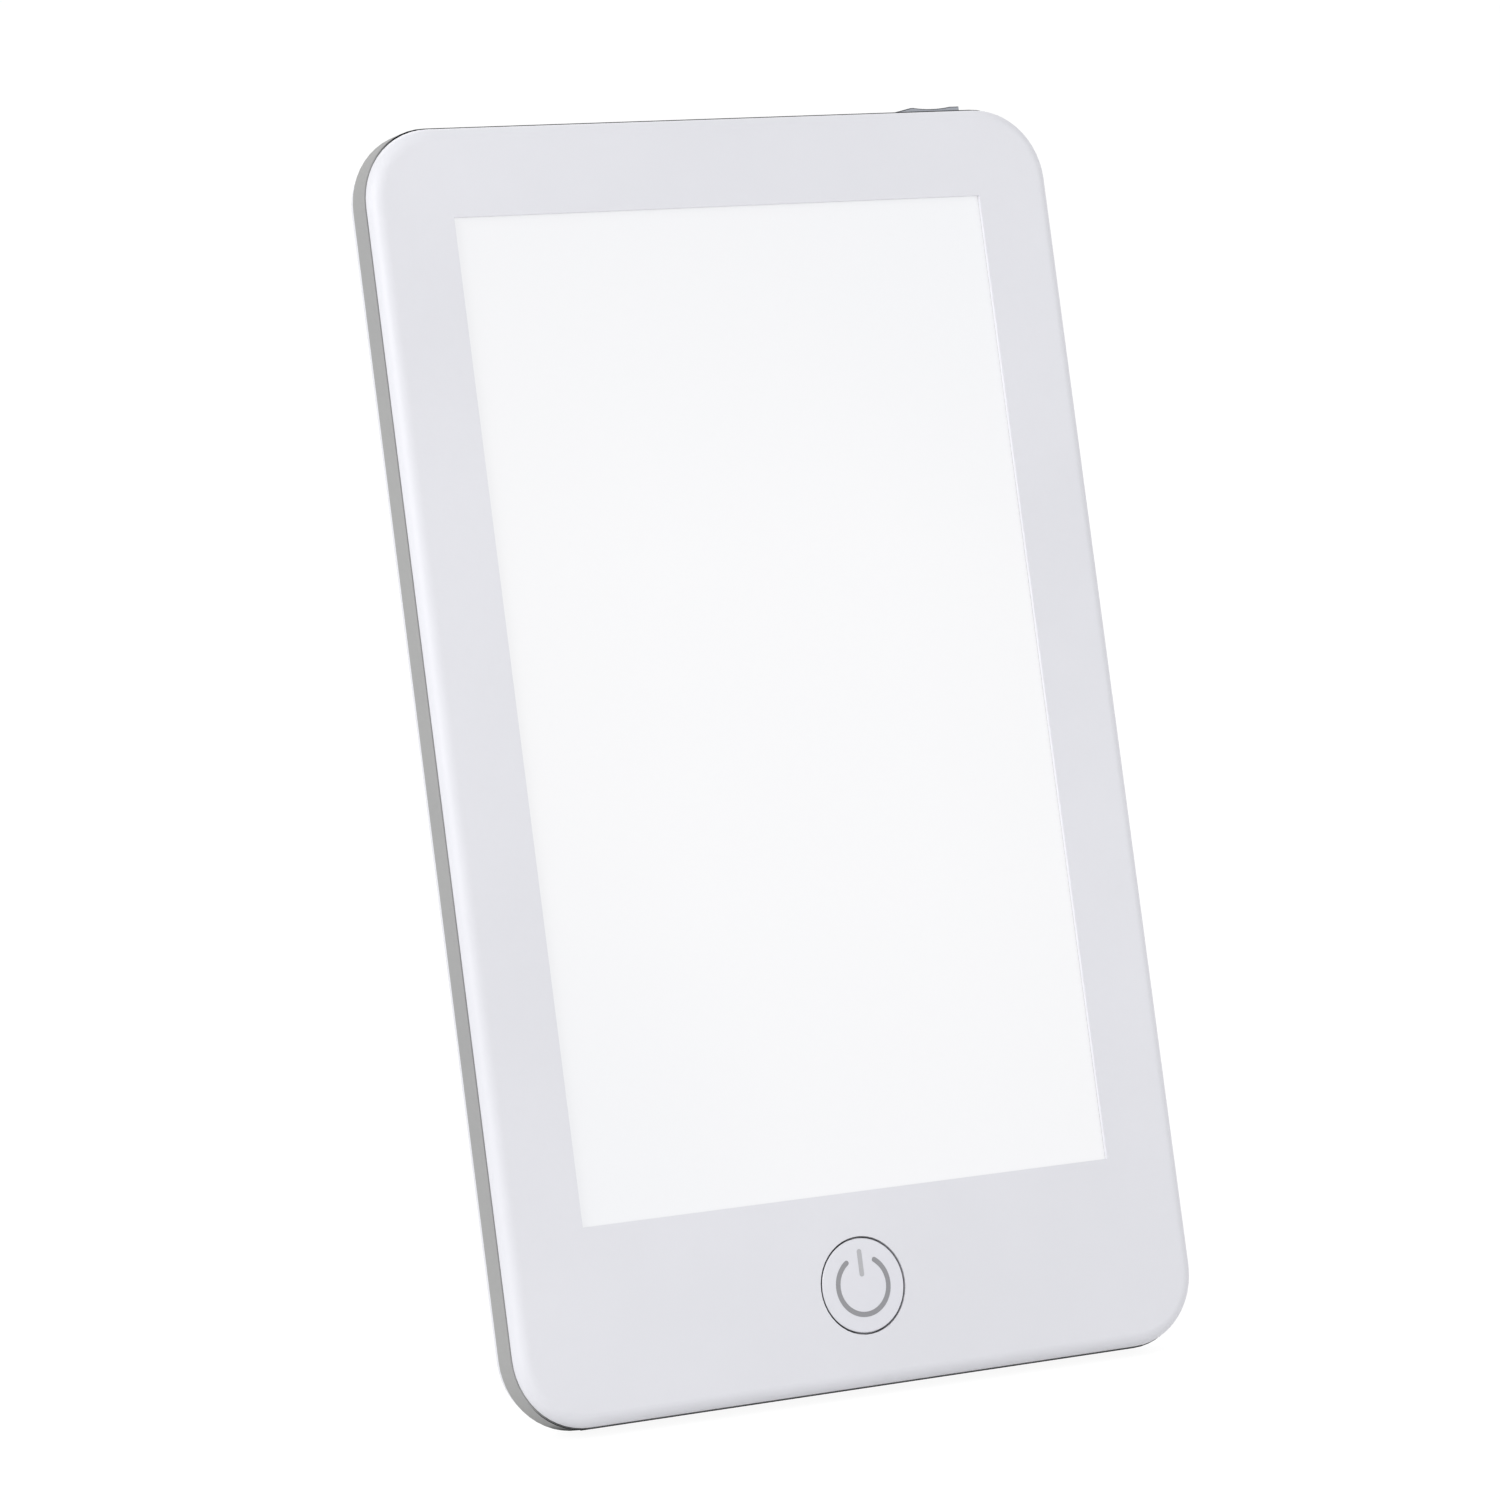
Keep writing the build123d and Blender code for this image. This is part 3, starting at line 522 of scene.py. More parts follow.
# %% Zinc plate with its crystals
def zinc_plate():
    """Zinc-plated strip: flat crystals of slightly different tone."""
    finish, tree, shader, place = new_finish("zinc_plate")
    shader.inputs["Metallic"].default_value = 1.0
    crystals = put(tree, "ShaderNodeTexVoronoi")
    feed(tree, crystals.inputs["Vector"], place)
    crystals.inputs["Scale"].default_value = 700.0
    shade = put(tree, "ShaderNodeSeparateColor")
    feed(tree, shade.inputs["Color"], crystals.outputs["Color"])
    tone = mixed(tree, shade.outputs["Red"], paint(186, 189, 194), paint(160, 164, 170))
    feed(tree, shader.inputs["Base Color"], tone)
    dullness = ramped(tree, shade.outputs["Green"], 0.0, 1.0, 0.3, 0.46)
    feed(tree, shader.inputs["Roughness"], dullness)
    lines = place_group(tree, drawn_lines, Place=place, Stretch=(60.0, 3000.0, 3000.0))
    raise_surface(tree, shader, lines["Height"], 4e-6)
    return finish


plated_zinc = zinc_plate()
print("finish:", plated_zinc.name)

# %% [markdown]
# ## The lit window
# The window is an opal acrylic sheet with a light guide behind it. What the eye sees is
# nearly even white, a little brighter in the middle, where the light of both rows of LEDs
# adds up, and cooler and dimmer in two corners. The glow is an Emission Color worked out
# from the place on the window, and the sheet keeps a grey base so that lamps in the room add
# only a little.

# %% Lit opal
OPAL_BASE = 0.30
OPAL_GLOW = 0.62


def lit_opal():
    """Opal acrylic lit from behind."""
    finish, tree, shader, place = new_finish("lit_opal")
    shader.inputs["Base Color"].default_value = (OPAL_BASE, OPAL_BASE, OPAL_BASE, 1.0)
    shader.inputs["Emission Strength"].default_value = OPAL_GLOW
    half_width = WINDOW_WIDTH / 2 * MM
    half_height = WINDOW_HEIGHT / 2 * MM
    sideways = along_axis(tree, place, RIGHT / half_width)
    upways = along_axis(tree, place, ALONG / half_height)
    upways = sums(tree, "SUBTRACT", upways, window_centre.dot(ALONG) / half_height)
    corners = ramped(tree, sums(tree, "MULTIPLY", sideways, upways), 0.15, 1.0)
    sides = ramped(tree, sums(tree, "ABSOLUTE", sideways), 0.45, 1.0)
    top = ramped(tree, upways, 0.3, 1.0)
    bottom = ramped(tree, upways, -0.4, -1.0, 0.0, 0.5)
    glow = mixed(tree, sides, (1.012, 1.012, 1.028, 1.0), (0.995, 0.995, 1.01, 1.0))
    glow = mixed(tree, sums(tree, "ADD", top, bottom), glow, (0.955, 0.96, 0.985, 1.0))
    glow = mixed(tree, corners, glow, (0.945, 0.955, 0.985, 1.0))
    feed(tree, shader.inputs["Emission Color"], glow)
    grains = place_group(
        tree, mould_grain, Place=place, Grain_per_metre=4500.0, Smooth=0.42, Rough=0.55
    )
    feed(tree, shader.inputs["Roughness"], grains["Roughness"])
    raise_surface(tree, shader, grains["Height"], 4e-6)
    return finish


lit_window = lit_opal()
print("finish:", lit_window.name)


# %% [markdown]
# ## The light guide and the LED strips
# The guide is clear acrylic with a field of printed dots on its back, which throw the light
# out of the front. Each LED is a white package with a yellow patch of phosphor in its middle.
# The strips are white solder mask over copper. All of these are seen only when the lamp is
# taken apart.

# %% Clear acrylic with printed dots
def dotted_acrylic():
    """Clear acrylic whose printed dots are rough and white."""
    finish, tree, shader, place = new_finish("dotted_acrylic")
    shader.inputs["Transmission Weight"].default_value = 1.0
    shader.inputs["IOR"].default_value = 1.49
    cells = put(tree, "ShaderNodeTexVoronoi")
    feed(tree, cells.inputs["Vector"], place)
    cells.inputs["Scale"].default_value = 480.0
    cells.inputs["Randomness"].default_value = 0.35
    dots = ramped(tree, cells.outputs["Distance"], 0.3, 0.36, 1.0, 0.0)
    tone = mixed(tree, dots, (0.97, 0.99, 0.99, 1.0), (0.82, 0.84, 0.85, 1.0))
    feed(tree, shader.inputs["Base Color"], tone)
    feed(tree, shader.inputs["Roughness"], ramped(tree, dots, 0.0, 1.0, 0.04, 0.6))
    return finish


# %% LED packages
LED_PITCH = 7.0


def led_package():
    """White LED packages with a phosphor patch in the middle of each."""
    finish, tree, shader, place = new_finish("led_package")
    upways = along_axis(tree, place, ALONG / (LED_PITCH * MM))
    centred = sums(tree, "SUBTRACT", upways, window_centre.dot(ALONG) / (LED_PITCH * MM) - 0.5)
    from_middle = sums(tree, "ABSOLUTE", sums(tree, "SUBTRACT", sums(tree, "FRACT", centred), 0.5))
    phosphor = ramped(tree, from_middle, 0.13, 0.15, 1.0, 0.0)
    speck = noise_value(tree, place, 2600.0)
    yellow = mixed(tree, speck, paint(236, 214, 96), paint(226, 196, 70))
    feed(tree, shader.inputs["Base Color"], mixed(tree, phosphor, paint(238, 238, 236), yellow))
    feed(tree, shader.inputs["Roughness"], ramped(tree, phosphor, 0.0, 1.0, 0.45, 0.2))
    return finish


# %% [markdown]
# ## Circuit boards
# A circuit board is a sheet of copper tracks under a thin coat of solder mask. The tracks
# show through as slightly paler, raised lines, and the pads are bare. The same group makes
# the green main board and the white LED strips, with other colours.

# %% Solder mask over tracks
solder_mask, took, gave = new_group(
    "solder_mask",
    [
        ("Place", VECTOR, None),
        ("Mask", COLOUR, (0.02, 0.2, 0.08, 1.0)),
        ("Track", COLOUR, (0.05, 0.3, 0.12, 1.0)),
        ("Pad", COLOUR, (0.7, 0.68, 0.6, 1.0)),
    ],
    [("Colour", COLOUR), ("Height", FLOAT), ("Roughness", FLOAT)],
)
track_cells = put(solder_mask, "ShaderNodeTexVoronoi", distance="MANHATTAN", feature="F1")
feed(solder_mask, track_cells.inputs["Vector"], took["Place"])
track_cells.inputs["Scale"].default_value = 330.0
track_cells.inputs["Randomness"].default_value = 0.6
spacing = sums(solder_mask, "MULTIPLY", track_cells.outputs["Distance"], 4.0)
rings = sums(solder_mask, "FRACT", spacing)
tracks = ramped(solder_mask, rings, 0.55, 0.6)
pads = ramped(solder_mask, track_cells.outputs["Distance"], 0.1, 0.12, 1.0, 0.0)
masked = mixed(solder_mask, tracks, took["Mask"], took["Track"])
feed(solder_mask, gave["Colour"], mixed(solder_mask, pads, masked, took["Pad"]))
feed(solder_mask, gave["Height"], sums(solder_mask, "SUBTRACT", tracks, pads))
feed(solder_mask, gave["Roughness"], ramped(solder_mask, pads, 0.0, 1.0, 0.38, 0.24))


def board_finish(name, mask, track):
    """A circuit board in one colour of solder mask."""
    finish, tree, shader, place = new_finish(name)
    coat = place_group(tree, solder_mask, Place=place, Mask=mask, Track=track)
    feed(tree, shader.inputs["Base Color"], coat["Colour"])
    feed(tree, shader.inputs["Roughness"], coat["Roughness"])
    raise_surface(tree, shader, coat["Height"], 3e-5)
    return finish


green_board = board_finish("green_board", paint(22, 92, 56), paint(40, 118, 74))
white_board = board_finish("white_strip_board", paint(236, 236, 232), paint(224, 224, 220))
print("boards done")

# %% [markdown]
# ## Dressing the CAD pieces
# Each CAD piece already has the right shape, so it only needs its finish. One table says
# which finish each piece wears. A piece that is missing from it would stay plain, so the last
# lines stop the script if any piece is left out.

# %% The table of finishes
clear_acrylic = dotted_acrylic()
led_white = led_package()

finish_of = {
    "front_bezel": satin_white,
    "rear_cover": satin_white,
    "side_band": band_grey,
    "diffuser_lens": lit_window,
    "lens_tape": tape_white,
    "diffuser_film": film_white,
    "reflector_sheet": film_white,
    "light_guide": clear_acrylic,
    "led_board_left": white_board,
    "led_board_right": white_board,
    "leds_left": led_white,
    "leds_right": led_white,
    "back_plate": rolled_aluminium,
    "plate_screws": screw_steel,
    "case_screws": screw_steel,
    "board_screws": screw_steel,
    "hinge_screws": screw_steel,
    "bottom_feet": foot_rubber,
    "leg_foot_pad": foot_rubber,
    "button_cap": button_white,
    "switch_plunger": black_plastic,
    "tact_switch": black_plastic,
    "driver_chip": black_plastic,
    "dc_jack": black_plastic,
    "slide_switch": black_plastic,
    "control_board": green_board,
    "switch_board": green_board,
    "power_inductor": inductor_grey,
    "board_capacitors": can_aluminium,
    "inlet_pin": pin_brass,
    "slide_key": key_grey,
    "led_leads": lead_white,
    "switch_leads": lead_white,
    "hinge_bracket": plated_zinc,
    "hinge_pin": turned_steel,
    "friction_washers": turned_steel,
    "stand_leg": leg_grey,
}
for name, piece in cad.items():
    piece.data.materials.clear()
    piece.data.materials.append(finish_of[name])
print("pieces dressed:", len(finish_of))


# %% [markdown]
# ## Modelling by hand
# New pieces are modelled flat at the origin, with their front towards +Z, because that is
# where an operator is easy to aim. `seat_on_lamp` then carries a finished piece to its place
# and writes that place into its mesh.

# %% Modelling helpers
def deselect():
    """Nothing selected, so that the next operator touches only what it should."""
    for thing in bpy.context.view_layer.objects:
        thing.select_set(False)


def pick(*things):
    """Select only these objects and make the first one active."""
    deselect()
    for thing in things:
        thing.select_set(True)
    bpy.context.view_layer.objects.active = things[0]


def start(name):
    """Name the primitive that was just added."""
    piece = bpy.context.active_object
    piece.name = name
    piece.data.name = name
    return piece


def shape_mode(piece, kind="VERT"):
    """Open a piece in edit mode with nothing selected."""
    pick(piece)
    bpy.ops.object.mode_set(mode="EDIT")
    bpy.ops.mesh.select_mode(type=kind)
    bpy.ops.mesh.select_all(action="DESELECT")


def choose(piece, kind, test):
    """Select the vertices, edges or faces for which TEST is true."""
    bpy.ops.object.mode_set(mode="OBJECT")
    parts = {"VERT": piece.data.vertices, "EDGE": piece.data.edges, "FACE": piece.data.polygons}
    for part in parts[kind]:
        part.select = test(part)
    bpy.ops.object.mode_set(mode="EDIT")


def finish_modifier(piece, kind, **settings):
    """Add one modifier and apply it at once."""
    pick(piece)
    modifier = piece.modifiers.new(kind.lower(), kind)
    for name, value in settings.items():
        setattr(modifier, name, value)
    bpy.ops.object.modifier_apply(modifier=modifier.name)


def seat_on_lamp(piece, x, y, depth, out=OUT):
    """Carry a piece to its place on the lamp, its +Z along OUT, and write that into its mesh."""
    side = ALONG.cross(out)
    turn = Matrix((side, ALONG, out)).transposed().to_4x4()
    piece.data.transform(Matrix.Translation(lamp_point(x, y, depth)) @ turn)
    piece.data.update()


def dress(piece, finish, body="lamp"):
    """Give a new piece its finish and the body it moves with."""
    piece.data.materials.clear()
    piece.data.materials.append(finish)
    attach(piece, body)
    print(piece.name, "has", len(piece.data.polygons), "faces")


# %% [markdown]
# ## The mark on the button
# The button carries a printed standby mark: a ring that is open at the top, and a bar in the
# opening. Print has rounded ends and even strokes. The ring is a circle whose edge is extruded
# inwards. Each of its ends is extruded onwards in short steps that shrink, which makes a half
# circle, because a bevel can't be wider than the ring's own short edges. The bar's edges are
# long, so there a bevel does it. Solidify gives both the thickness of a coat of ink.

# %% Ring of the mark
MARK_RADIUS = 5.0 * MM
MARK_STROKE = 0.9 * MM
MARK_OPENING = math.radians(34.0)
END_STEPS = 8
BAR_RISE = MARK_RADIUS * 0.78
BAR_LENGTH = MARK_RADIUS * 0.95
INK = 0.03 * MM
BUTTON_Y = 17.3


def round_end(ring, side):
    """Extrude one end of the ring onwards in steps that shrink to a half circle."""
    uses = [0] * len(ring.data.vertices)
    for edge in ring.data.edges:
        for corner in edge.vertices:
            uses[corner] += 1
    ends = {v.index for v in ring.data.vertices if uses[v.index] == 2 and v.co.x * side > 0.0}
    middle = sum((ring.data.vertices[i].co for i in ends), Vector()) / len(ends)
    onwards = Vector((-side * middle.y, side * middle.x, 0.0)).normalized()
    shape_mode(ring)
    choose(ring, "VERT", lambda v: v.index in ends)
    quarter = math.pi / 2
    for step in range(END_STEPS):
        before = quarter * step / END_STEPS
        after = quarter * (step + 1) / END_STEPS
        forward = onwards * (math.sin(after) - math.sin(before)) * MARK_STROKE / 2
        shrink = math.cos(after) / math.cos(before)
        bpy.ops.mesh.extrude_region_move()
        bpy.ops.transform.translate(value=forward)
        middle += forward
        bpy.ops.transform.resize(value=(shrink, shrink, 1.0), center_override=middle)
    bpy.ops.mesh.select_all(action="SELECT")
    bpy.ops.mesh.remove_doubles(threshold=MARK_STROKE * 0.001)
    bpy.ops.object.mode_set(mode="OBJECT")


def mark_ring():
    """The open ring, flat in the XY plane."""
    deselect()
    bpy.ops.mesh.primitive_circle_add(
        vertices=180, radius=MARK_RADIUS + MARK_STROKE / 2, fill_type="NOTHING"
    )
    ring = start("standby_ring")
    shape_mode(ring)
    choose(ring, "VERT", lambda v: abs(math.atan2(v.co.x, v.co.y)) < MARK_OPENING)
    bpy.ops.mesh.delete(type="VERT")
    bpy.ops.mesh.select_all(action="SELECT")
    shrink = (MARK_RADIUS - MARK_STROKE / 2) / (MARK_RADIUS + MARK_STROKE / 2)
    bpy.ops.mesh.extrude_region_move()
    bpy.ops.transform.resize(value=(shrink, shrink, 1.0), center_override=(0.0, 0.0, 0.0))
    bpy.ops.object.mode_set(mode="OBJECT")
    for side in (-1, 1):
        round_end(ring, side)
    return ring


def mark_bar():
    """The upright bar, flat in the XY plane."""
    deselect()
    bpy.ops.mesh.primitive_plane_add(size=1.0, location=(0.0, BAR_RISE, 0.0))
    bar = start("standby_bar")
    bar.scale = (MARK_STROKE, BAR_LENGTH, 1.0)
    pick(bar)
    bpy.ops.object.transform_apply(location=True, rotation=True, scale=True)
    shape_mode(bar)
    bpy.ops.mesh.select_all(action="SELECT")
    bpy.ops.mesh.bevel(offset=MARK_STROKE * 0.48, segments=6, affect="VERTICES")
    bpy.ops.object.mode_set(mode="OBJECT")
    return bar


def face_up(piece):
    """Turn every face of a flat piece towards +Z."""
    shape_mode(piece, "FACE")
    choose(piece, "FACE", lambda f: f.normal.z < 0.0)
    bpy.ops.mesh.flip_normals()
    bpy.ops.object.mode_set(mode="OBJECT")


def ink(name, tone, other_tone):
    """Pad-printed ink, a little glossier than the plastic under it."""
    return moulded(name, tone, other_tone, 5200.0, 3e-6, 0.30, 0.44)


ring_ink = ink("mark_ink", paint(150, 150, 153), paint(144, 144, 148))
bar_ink = ink("bar_ink", paint(188, 188, 191), paint(182, 182, 186))
for mark, coat in ((mark_ring(), ring_ink), (mark_bar(), bar_ink)):
    face_up(mark)
    finish_modifier(mark, "SOLIDIFY", thickness=INK, offset=1.0)
    seat_on_lamp(mark, 0.0, BUTTON_Y, 0.0)
    dress(mark, coat, "button")

# %% [markdown]
# ## Screws with a cross recess
# In the CAD model a screw is a plain head on a plain shank. A real self-tapping screw has a
# rounded pan head, a cross recess that tapers to a point, and a sharp coarse thread. The head
# is a cylinder with a bevelled rim, the recess is cut with two tapered bars, and the thread is
# one small triangle turned up the shank by the Screw modifier. One screw of each size is
# modelled, and the others are copies with their own mesh.

# %% Head with its recess
RIM_SHARE = 0.45
RECESS_LENGTH = 1.15
RECESS_WIDTH = 0.24
RECESS_DEPTH = 1.3
RECESS_TAPER = 0.45


def screw_head(head_radius, head_height):
    """A pan head whose seat is at Z = 0, with a cross recess from above."""
    deselect()
    bpy.ops.mesh.primitive_cylinder_add(
        vertices=48, radius=head_radius, depth=head_height, location=(0.0, 0.0, head_height / 2)
    )
    head = start("screw_head")
    pick(head)
    bpy.ops.object.transform_apply(location=True, rotation=True, scale=True)
    shape_mode(head, "EDGE")
    top = head_height * 0.99
    points = head.data.vertices
    choose(head, "EDGE", lambda e: min(points[i].co.z for i in e.vertices) > top)
    bpy.ops.mesh.bevel(offset=head_height * RIM_SHARE, segments=5, affect="EDGES")
    bpy.ops.object.mode_set(mode="OBJECT")
    for quarter in (0.0, math.pi / 2):
        cut_bar(head, head_radius, head_height, quarter)
    return head


def cut_bar(head, head_radius, head_height, quarter):
    """Cut one tapered bar of the cross into the head."""
    deselect()
    bpy.ops.mesh.primitive_cube_add(size=1.0, location=(0.0, 0.0, head_height))
    bar = start("recess_bar")
    bar.scale = (
        head_radius * RECESS_LENGTH, head_radius * RECESS_WIDTH, head_height * RECESS_DEPTH
    )
    bar.rotation_euler = (0.0, 0.0, quarter)
    pick(bar)
    bpy.ops.object.transform_apply(location=True, rotation=True, scale=True)
    shape_mode(bar, "FACE")
    choose(bar, "FACE", lambda f: f.normal.z < -0.9)
    bpy.ops.transform.resize(
        value=(RECESS_TAPER, RECESS_TAPER, 1.0), center_override=(0.0, 0.0, 0.0)
    )
    bpy.ops.object.mode_set(mode="OBJECT")
    finish_modifier(head, "BOOLEAN", operation="DIFFERENCE", object=bar, solver="EXACT")
    bpy.data.objects.remove(bar)


# %% Shank with its thread
CORE_SHARE = 0.72
PITCH_SHARE = 0.75
SHARP_ANGLE = math.radians(35.0)


def screw_shank(radius, length):
    """A threaded shank from Z = 0 down, with a blunt point."""
    core = radius * CORE_SHARE
    pitch = radius * PITCH_SHARE
    deselect()
    bpy.ops.mesh.primitive_cylinder_add(
        vertices=24, radius=core, depth=length, location=(0.0, 0.0, -length / 2)
    )
    shank = start("screw_shank")
    pick(shank)
    bpy.ops.object.transform_apply(location=True, rotation=True, scale=True)
    shape_mode(shank, "FACE")
    choose(shank, "FACE", lambda f: f.normal.z < -0.9)
    bpy.ops.mesh.inset(thickness=core * 0.45)
    bpy.ops.transform.translate(value=(0.0, 0.0, -radius * 0.5))
    bpy.ops.object.mode_set(mode="OBJECT")
    deselect()
    bpy.ops.mesh.primitive_circle_add(vertices=3, radius=1.0, fill_type="NOTHING")
    thread = start("screw_thread")
    corners = (
        (core * 0.9, 0.0, -length),
        (core * 0.9, 0.0, -length + pitch * 0.55),
        (radius * 0.97, 0.0, -length + pitch * 0.28),
    )
    for point, place in zip(thread.data.vertices, corners):
        point.co = place
    turns = int(length / pitch) - 1
    finish_modifier(
        thread, "SCREW", axis="Z", angle=math.tau, screw_offset=pitch,
        iterations=turns, steps=20, render_steps=20, use_merge_vertices=True,
    )
    shape_mode(thread)
    bpy.ops.mesh.select_non_manifold()
    bpy.ops.mesh.fill_holes(sides=0)
    bpy.ops.mesh.select_all(action="SELECT")
    bpy.ops.mesh.normals_make_consistent(inside=False)
    bpy.ops.object.mode_set(mode="OBJECT")
    pick(shank, thread)
    bpy.ops.object.join()
    return shank


def cross_screw(name, head_radius, head_height, radius, length):
    """One whole screw with its seat at Z = 0 and its head towards +Z."""
    head = screw_head(head_radius, head_height)
    shank = screw_shank(radius, length)
    pick(head, shank)
    bpy.ops.object.join()
    head.name = name
    bpy.ops.object.shade_smooth_by_angle(angle=SHARP_ANGLE)
    return head


# %% Place the screws
COUNTERBORE = 1.9
TURN_OF_NEXT = math.radians(37.0)


def set_screws(label, pattern, spots, seat, node):
    """Copy the pattern screw to every spot, head towards the back, and let it stand for a node."""
    for number, (x, y) in enumerate(spots, 1):
        screw = pattern.copy()
        screw.data = pattern.data.copy()
        screw.name = f"{label}_{number}"
        screw.data.name = screw.name
        bpy.context.scene.collection.objects.link(screw)
        turned = Matrix.Rotation(TURN_OF_NEXT * number, 4, "Z")
        screw.data.transform(turned)
        seat_on_lamp(screw, x, y, seat, -OUT)
        dress(screw, screw_steel)
        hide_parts(node)


case_spots = [
    (side * x, y) for side in (-1, 1) for x, y in ((58.5, 9.2), (61.3, 110.85), (58.5, 212.5))
]
case_pattern = cross_screw("case_screw_pattern", 2.0 * MM, 1.3 * MM, 1.1 * MM, 7.6 * MM)
set_screws("case_screw", case_pattern, case_spots, TOTAL_DEPTH - COUNTERBORE, "case_screws")
bpy.data.objects.remove(case_pattern)

# %% The small screws
BRACKET_BACK = 9.5
TRAY_TABS_BACK = 6.65
BOARD_BACK = 6.6
hinge_spots = [(x, 129.4) for x in (-16.125, -5.375, 5.375, 16.125)]
plate_spots = [(side * 61.3, y) for side in (-1, 1) for y in (46.0, 193.4)]
board_spots = [(side * 45.0, y) for side in (-1, 1) for y in (9.5, 22.0)]
for label, spots, seat, length in (
    ("hinge_screw", hinge_spots, BRACKET_BACK, 2.6),
    ("plate_screw", plate_spots, TRAY_TABS_BACK, 3.4),
    ("board_screw", board_spots, BOARD_BACK, 3.4),
):
    pattern = cross_screw(f"{label}_pattern", 1.5 * MM, 0.8 * MM, 0.8 * MM, length * MM)
    set_screws(label, pattern, spots, seat, f"{label}s")
    bpy.data.objects.remove(pattern)

# %% [markdown]
# ## The blank label
# A lamp has a rating label in a shallow seat on its back. Here it is a blank foil. A plane
# gets rounded corners by bevelling its four vertices, a thickness by Solidify, and a soft edge
# by a small Bevel, so that the light catches its rim.

# %% Blank foil label
def foil():
    """Silver polyester foil with fine lines across and a trace of waviness."""
    finish, tree, shader, place = new_finish("label_foil")
    shader.inputs["Metallic"].default_value = 0.75
    lines = place_group(
        tree, drawn_lines, Place=place, Stretch=(50.0, 2600.0, 2600.0), Smooth=0.42, Rough=0.45
    )
    tones = place_group(
        tree, tone_drift, Place=place, Patches_per_metre=60.0,
        Tone=paint(212, 214, 217), Other_tone=paint(209, 211, 214),
    )
    feed(tree, shader.inputs["Base Color"], tones["Colour"])
    feed(tree, shader.inputs["Roughness"], lines["Roughness"])
    raise_surface(tree, shader, lines["Height"], 1e-6)
    return finish


LABEL_WIDTH = 60.8 * MM
LABEL_HEIGHT = 22.8 * MM
LABEL_CORNER = 1.6 * MM
LABEL_FOIL = 0.15 * MM
LABEL_EDGE = 0.04 * MM
LABEL_SEAT = 0.3
LABEL_Y = 177.9
deselect()
bpy.ops.mesh.primitive_plane_add(size=1.0)
label = start("blank_label")
label.scale = (LABEL_WIDTH, LABEL_HEIGHT, 1.0)
pick(label)
bpy.ops.object.transform_apply(location=True, rotation=True, scale=True)
shape_mode(label)
bpy.ops.mesh.select_all(action="SELECT")
bpy.ops.mesh.bevel(offset=LABEL_CORNER, segments=8, affect="VERTICES")
bpy.ops.object.mode_set(mode="OBJECT")
face_up(label)
finish_modifier(label, "SOLIDIFY", thickness=LABEL_FOIL, offset=1.0)
finish_modifier(label, "BEVEL", width=LABEL_EDGE, segments=2, limit_method="ANGLE")
seat_on_lamp(label, 0.0, LABEL_Y, TOTAL_DEPTH - LABEL_SEAT, -OUT)
dress(label, foil())

# %% [markdown]
# ## The sleeve in the plug's hole
# The hole for the plug runs through the joint between the band and the back shell, and a thin
# black sleeve lines it, so that the plug meets one clean bore. It is an open cylinder that
# Solidify gives a wall on its inside and Bevel a soft lip.

# %% Socket sleeve
SLEEVE_RADIUS = 3.08 * MM
SLEEVE_WALL = 0.2 * MM
SLEEVE_LENGTH = 1.6 * MM
SLEEVE_LIP = 0.06 * MM
SLEEVE_X = 66.2
INLET_Y = 19.0
INLET_DEPTH = 6.7
deselect()
bpy.ops.mesh.primitive_cylinder_add(
    vertices=72, radius=SLEEVE_RADIUS, depth=SLEEVE_LENGTH, end_fill_type="NOTHING"
)
sleeve = start("socket_sleeve")
finish_modifier(sleeve, "SOLIDIFY", thickness=SLEEVE_WALL, offset=-1.0)
finish_modifier(sleeve, "BEVEL", width=SLEEVE_LIP, segments=3, limit_method="ANGLE")
pick(sleeve)
bpy.ops.object.shade_smooth_by_angle(angle=SHARP_ANGLE)
seat_on_lamp(sleeve, SLEEVE_X, INLET_Y, INLET_DEPTH, RIGHT)
dress(sleeve, black_plastic)

# %% [markdown]
# ## Floor, lamps and background
# A plain studio: a pale floor, one large soft lamp from the upper left, a weaker one from the
# right, and light from all around. The background is white because of its colour and not
# because of more light: the floor and the world look white to the camera and in reflections,
# while the light that falls on the lamp stays at a plain level. The floor keeps the shadow.

# %% Floor
FLOOR_SIZE = 30.0
FLOOR_TONE = (0.80, 0.80, 0.80, 1.0)
SEEN_TONE = (0.14, 0.14, 0.14, 1.0)
SEEN_GLOW = 0.925


def studio_floor():
    """A pale floor that looks white but still takes the object's shadow."""
    finish = bpy.data.materials.new("studio_floor")
    finish.use_nodes = True
    tree = finish.node_tree
    tree.nodes.clear()
    rays = put(tree, "ShaderNodeLightPath")
    seen = sums(tree, "MAXIMUM", rays.outputs["Is Camera Ray"], rays.outputs["Is Glossy Ray"])
    seen = sums(tree, "MAXIMUM", seen, rays.outputs["Is Transmission Ray"])
    plain = put(tree, "ShaderNodeBsdfDiffuse")
    plain.inputs["Color"].default_value = FLOOR_TONE
    shaded = put(tree, "ShaderNodeBsdfDiffuse")
    shaded.inputs["Color"].default_value = SEEN_TONE
    white = put(tree, "ShaderNodeEmission")
    white.inputs["Strength"].default_value = SEEN_GLOW
    both = put(tree, "ShaderNodeAddShader")
    tree.links.new(shaded.outputs[0], both.inputs[0])
    tree.links.new(white.outputs[0], both.inputs[1])
    choice = put(tree, "ShaderNodeMixShader")
    tree.links.new(seen, choice.inputs[0])
    tree.links.new(plain.outputs[0], choice.inputs[1])
    tree.links.new(both.outputs[0], choice.inputs[2])
    out = put(tree, "ShaderNodeOutputMaterial")
    tree.links.new(choice.outputs[0], out.inputs["Surface"])
    return finish


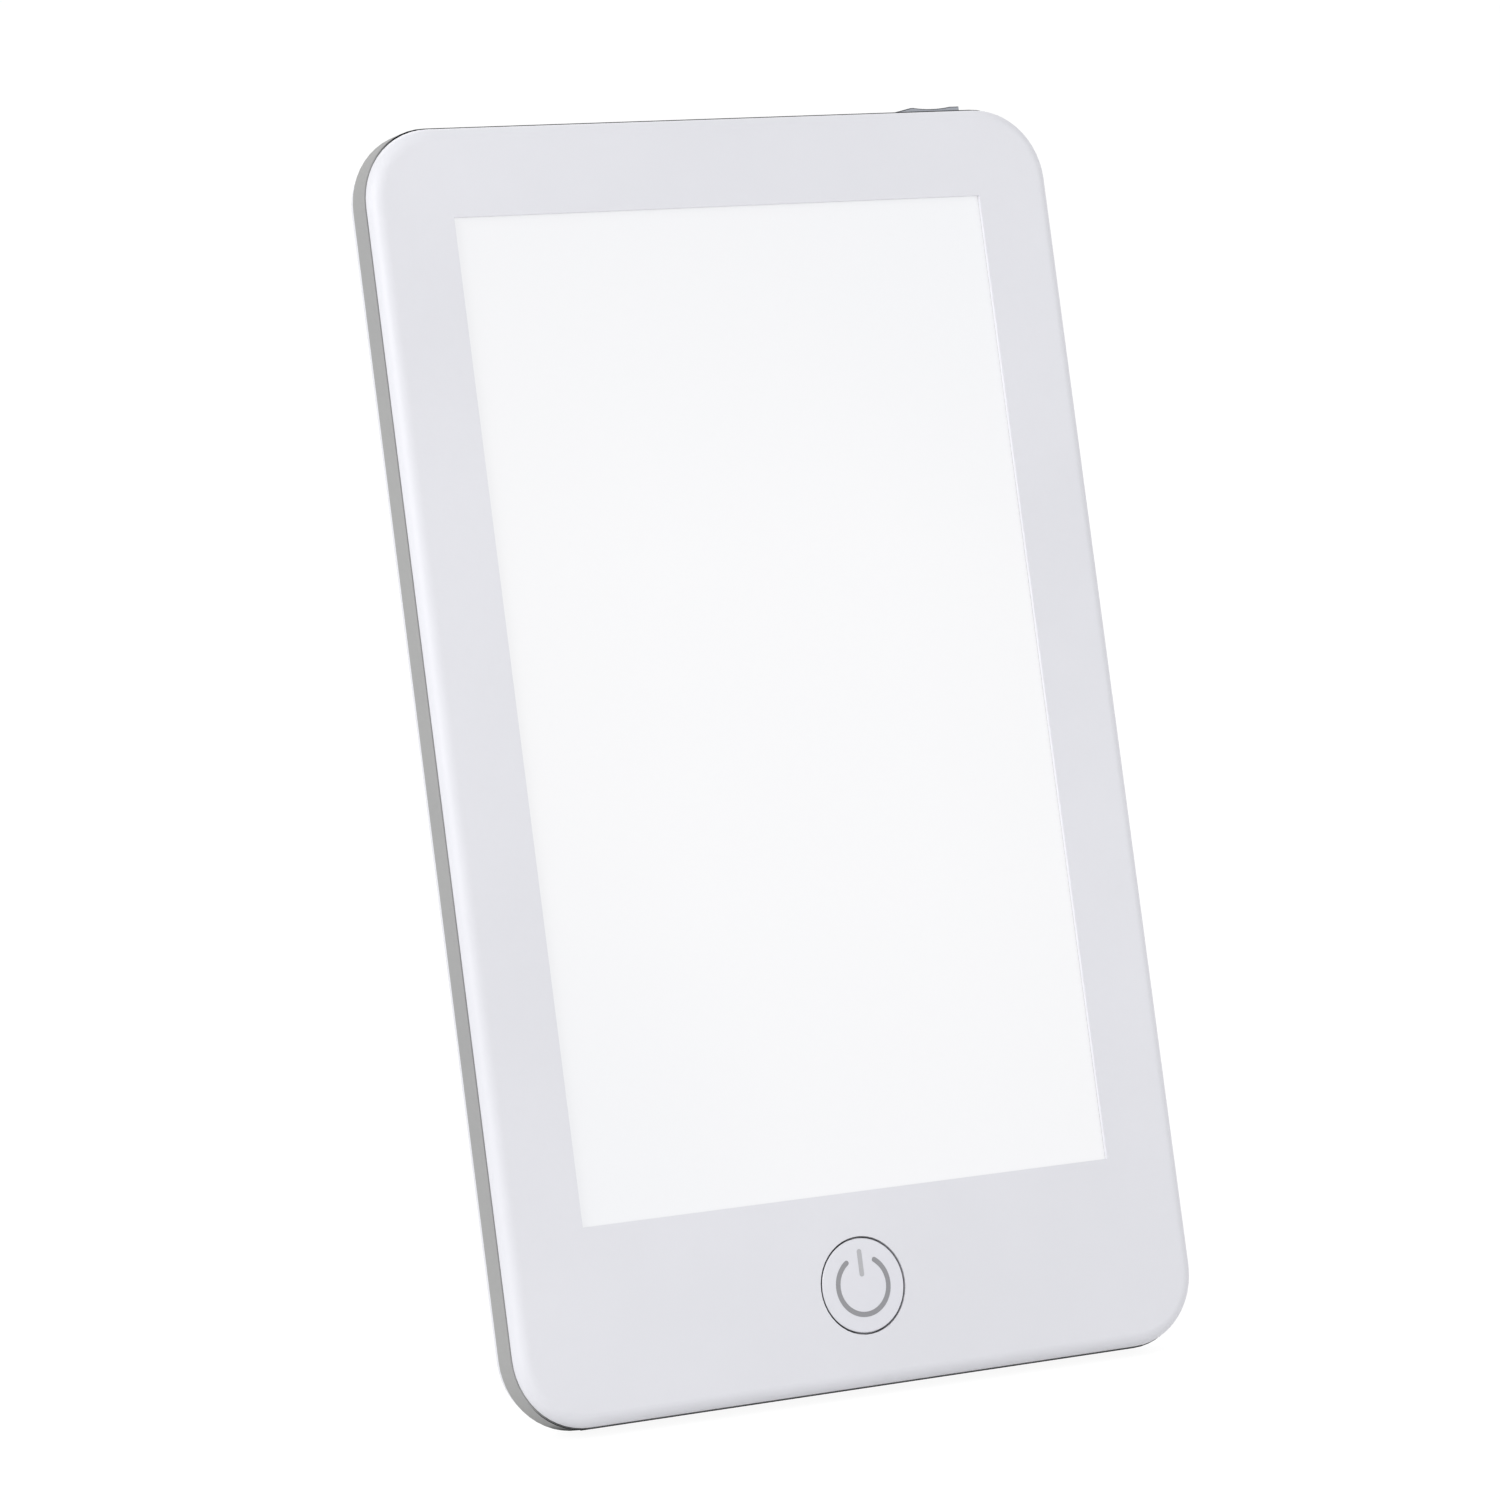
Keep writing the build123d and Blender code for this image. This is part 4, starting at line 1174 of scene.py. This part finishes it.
deselect()
bpy.ops.mesh.primitive_plane_add(size=FLOOR_SIZE, location=(0.0, 0.0, 0.0))
floor = start("floor")
floor.data.materials.append(studio_floor())
print("floor:", FLOOR_SIZE, "m across")

# %% World
ROOM_LIGHT = 0.70
world = bpy.data.worlds.new("studio")
world.use_nodes = True
bpy.context.scene.world = world
air = world.node_tree
air.nodes.clear()
rays = put(air, "ShaderNodeLightPath")
seen = sums(air, "MAXIMUM", rays.outputs["Is Camera Ray"], rays.outputs["Is Glossy Ray"])
seen = sums(air, "MAXIMUM", seen, rays.outputs["Is Transmission Ray"])
room = put(air, "ShaderNodeBackground")
room.inputs["Color"].default_value = (0.985, 0.99, 1.0, 1.0)
room.inputs["Strength"].default_value = ROOM_LIGHT
white_air = put(air, "ShaderNodeBackground")
white_air.inputs["Color"].default_value = (1.0, 1.0, 1.0, 1.0)
air_choice = put(air, "ShaderNodeMixShader")
air_out = put(air, "ShaderNodeOutputWorld")
air.links.new(seen, air_choice.inputs[0])
air.links.new(room.outputs[0], air_choice.inputs[1])
air.links.new(white_air.outputs[0], air_choice.inputs[2])
air.links.new(air_choice.outputs[0], air_out.inputs["Surface"])
print("light from all around:", ROOM_LIGHT)


# %% Soft lamps
def soft_lamp(name, place, size, watts):
    """A square area lamp that faces the window."""
    light = bpy.data.lights.new(name, "AREA")
    light.shape = "SQUARE"
    light.size = size
    light.energy = watts
    lamp = bpy.data.objects.new(name, light)
    bpy.context.scene.collection.objects.link(lamp)
    aim = (window_centre - Vector(place)).to_track_quat("-Z", "Y")
    lamp.matrix_world = Matrix.Translation(Vector(place)) @ aim.to_matrix().to_4x4()


soft_lamp("key_lamp", (-1.7, -0.55, 0.9), 1.0, 15.8)
soft_lamp("fill_lamp", (1.1, -1.5, 0.7), 1.2, 4.0)
soft_lamp("back_lamp", (0.3, 1.6, 1.2), 1.2, 5.0)
print("studio ready")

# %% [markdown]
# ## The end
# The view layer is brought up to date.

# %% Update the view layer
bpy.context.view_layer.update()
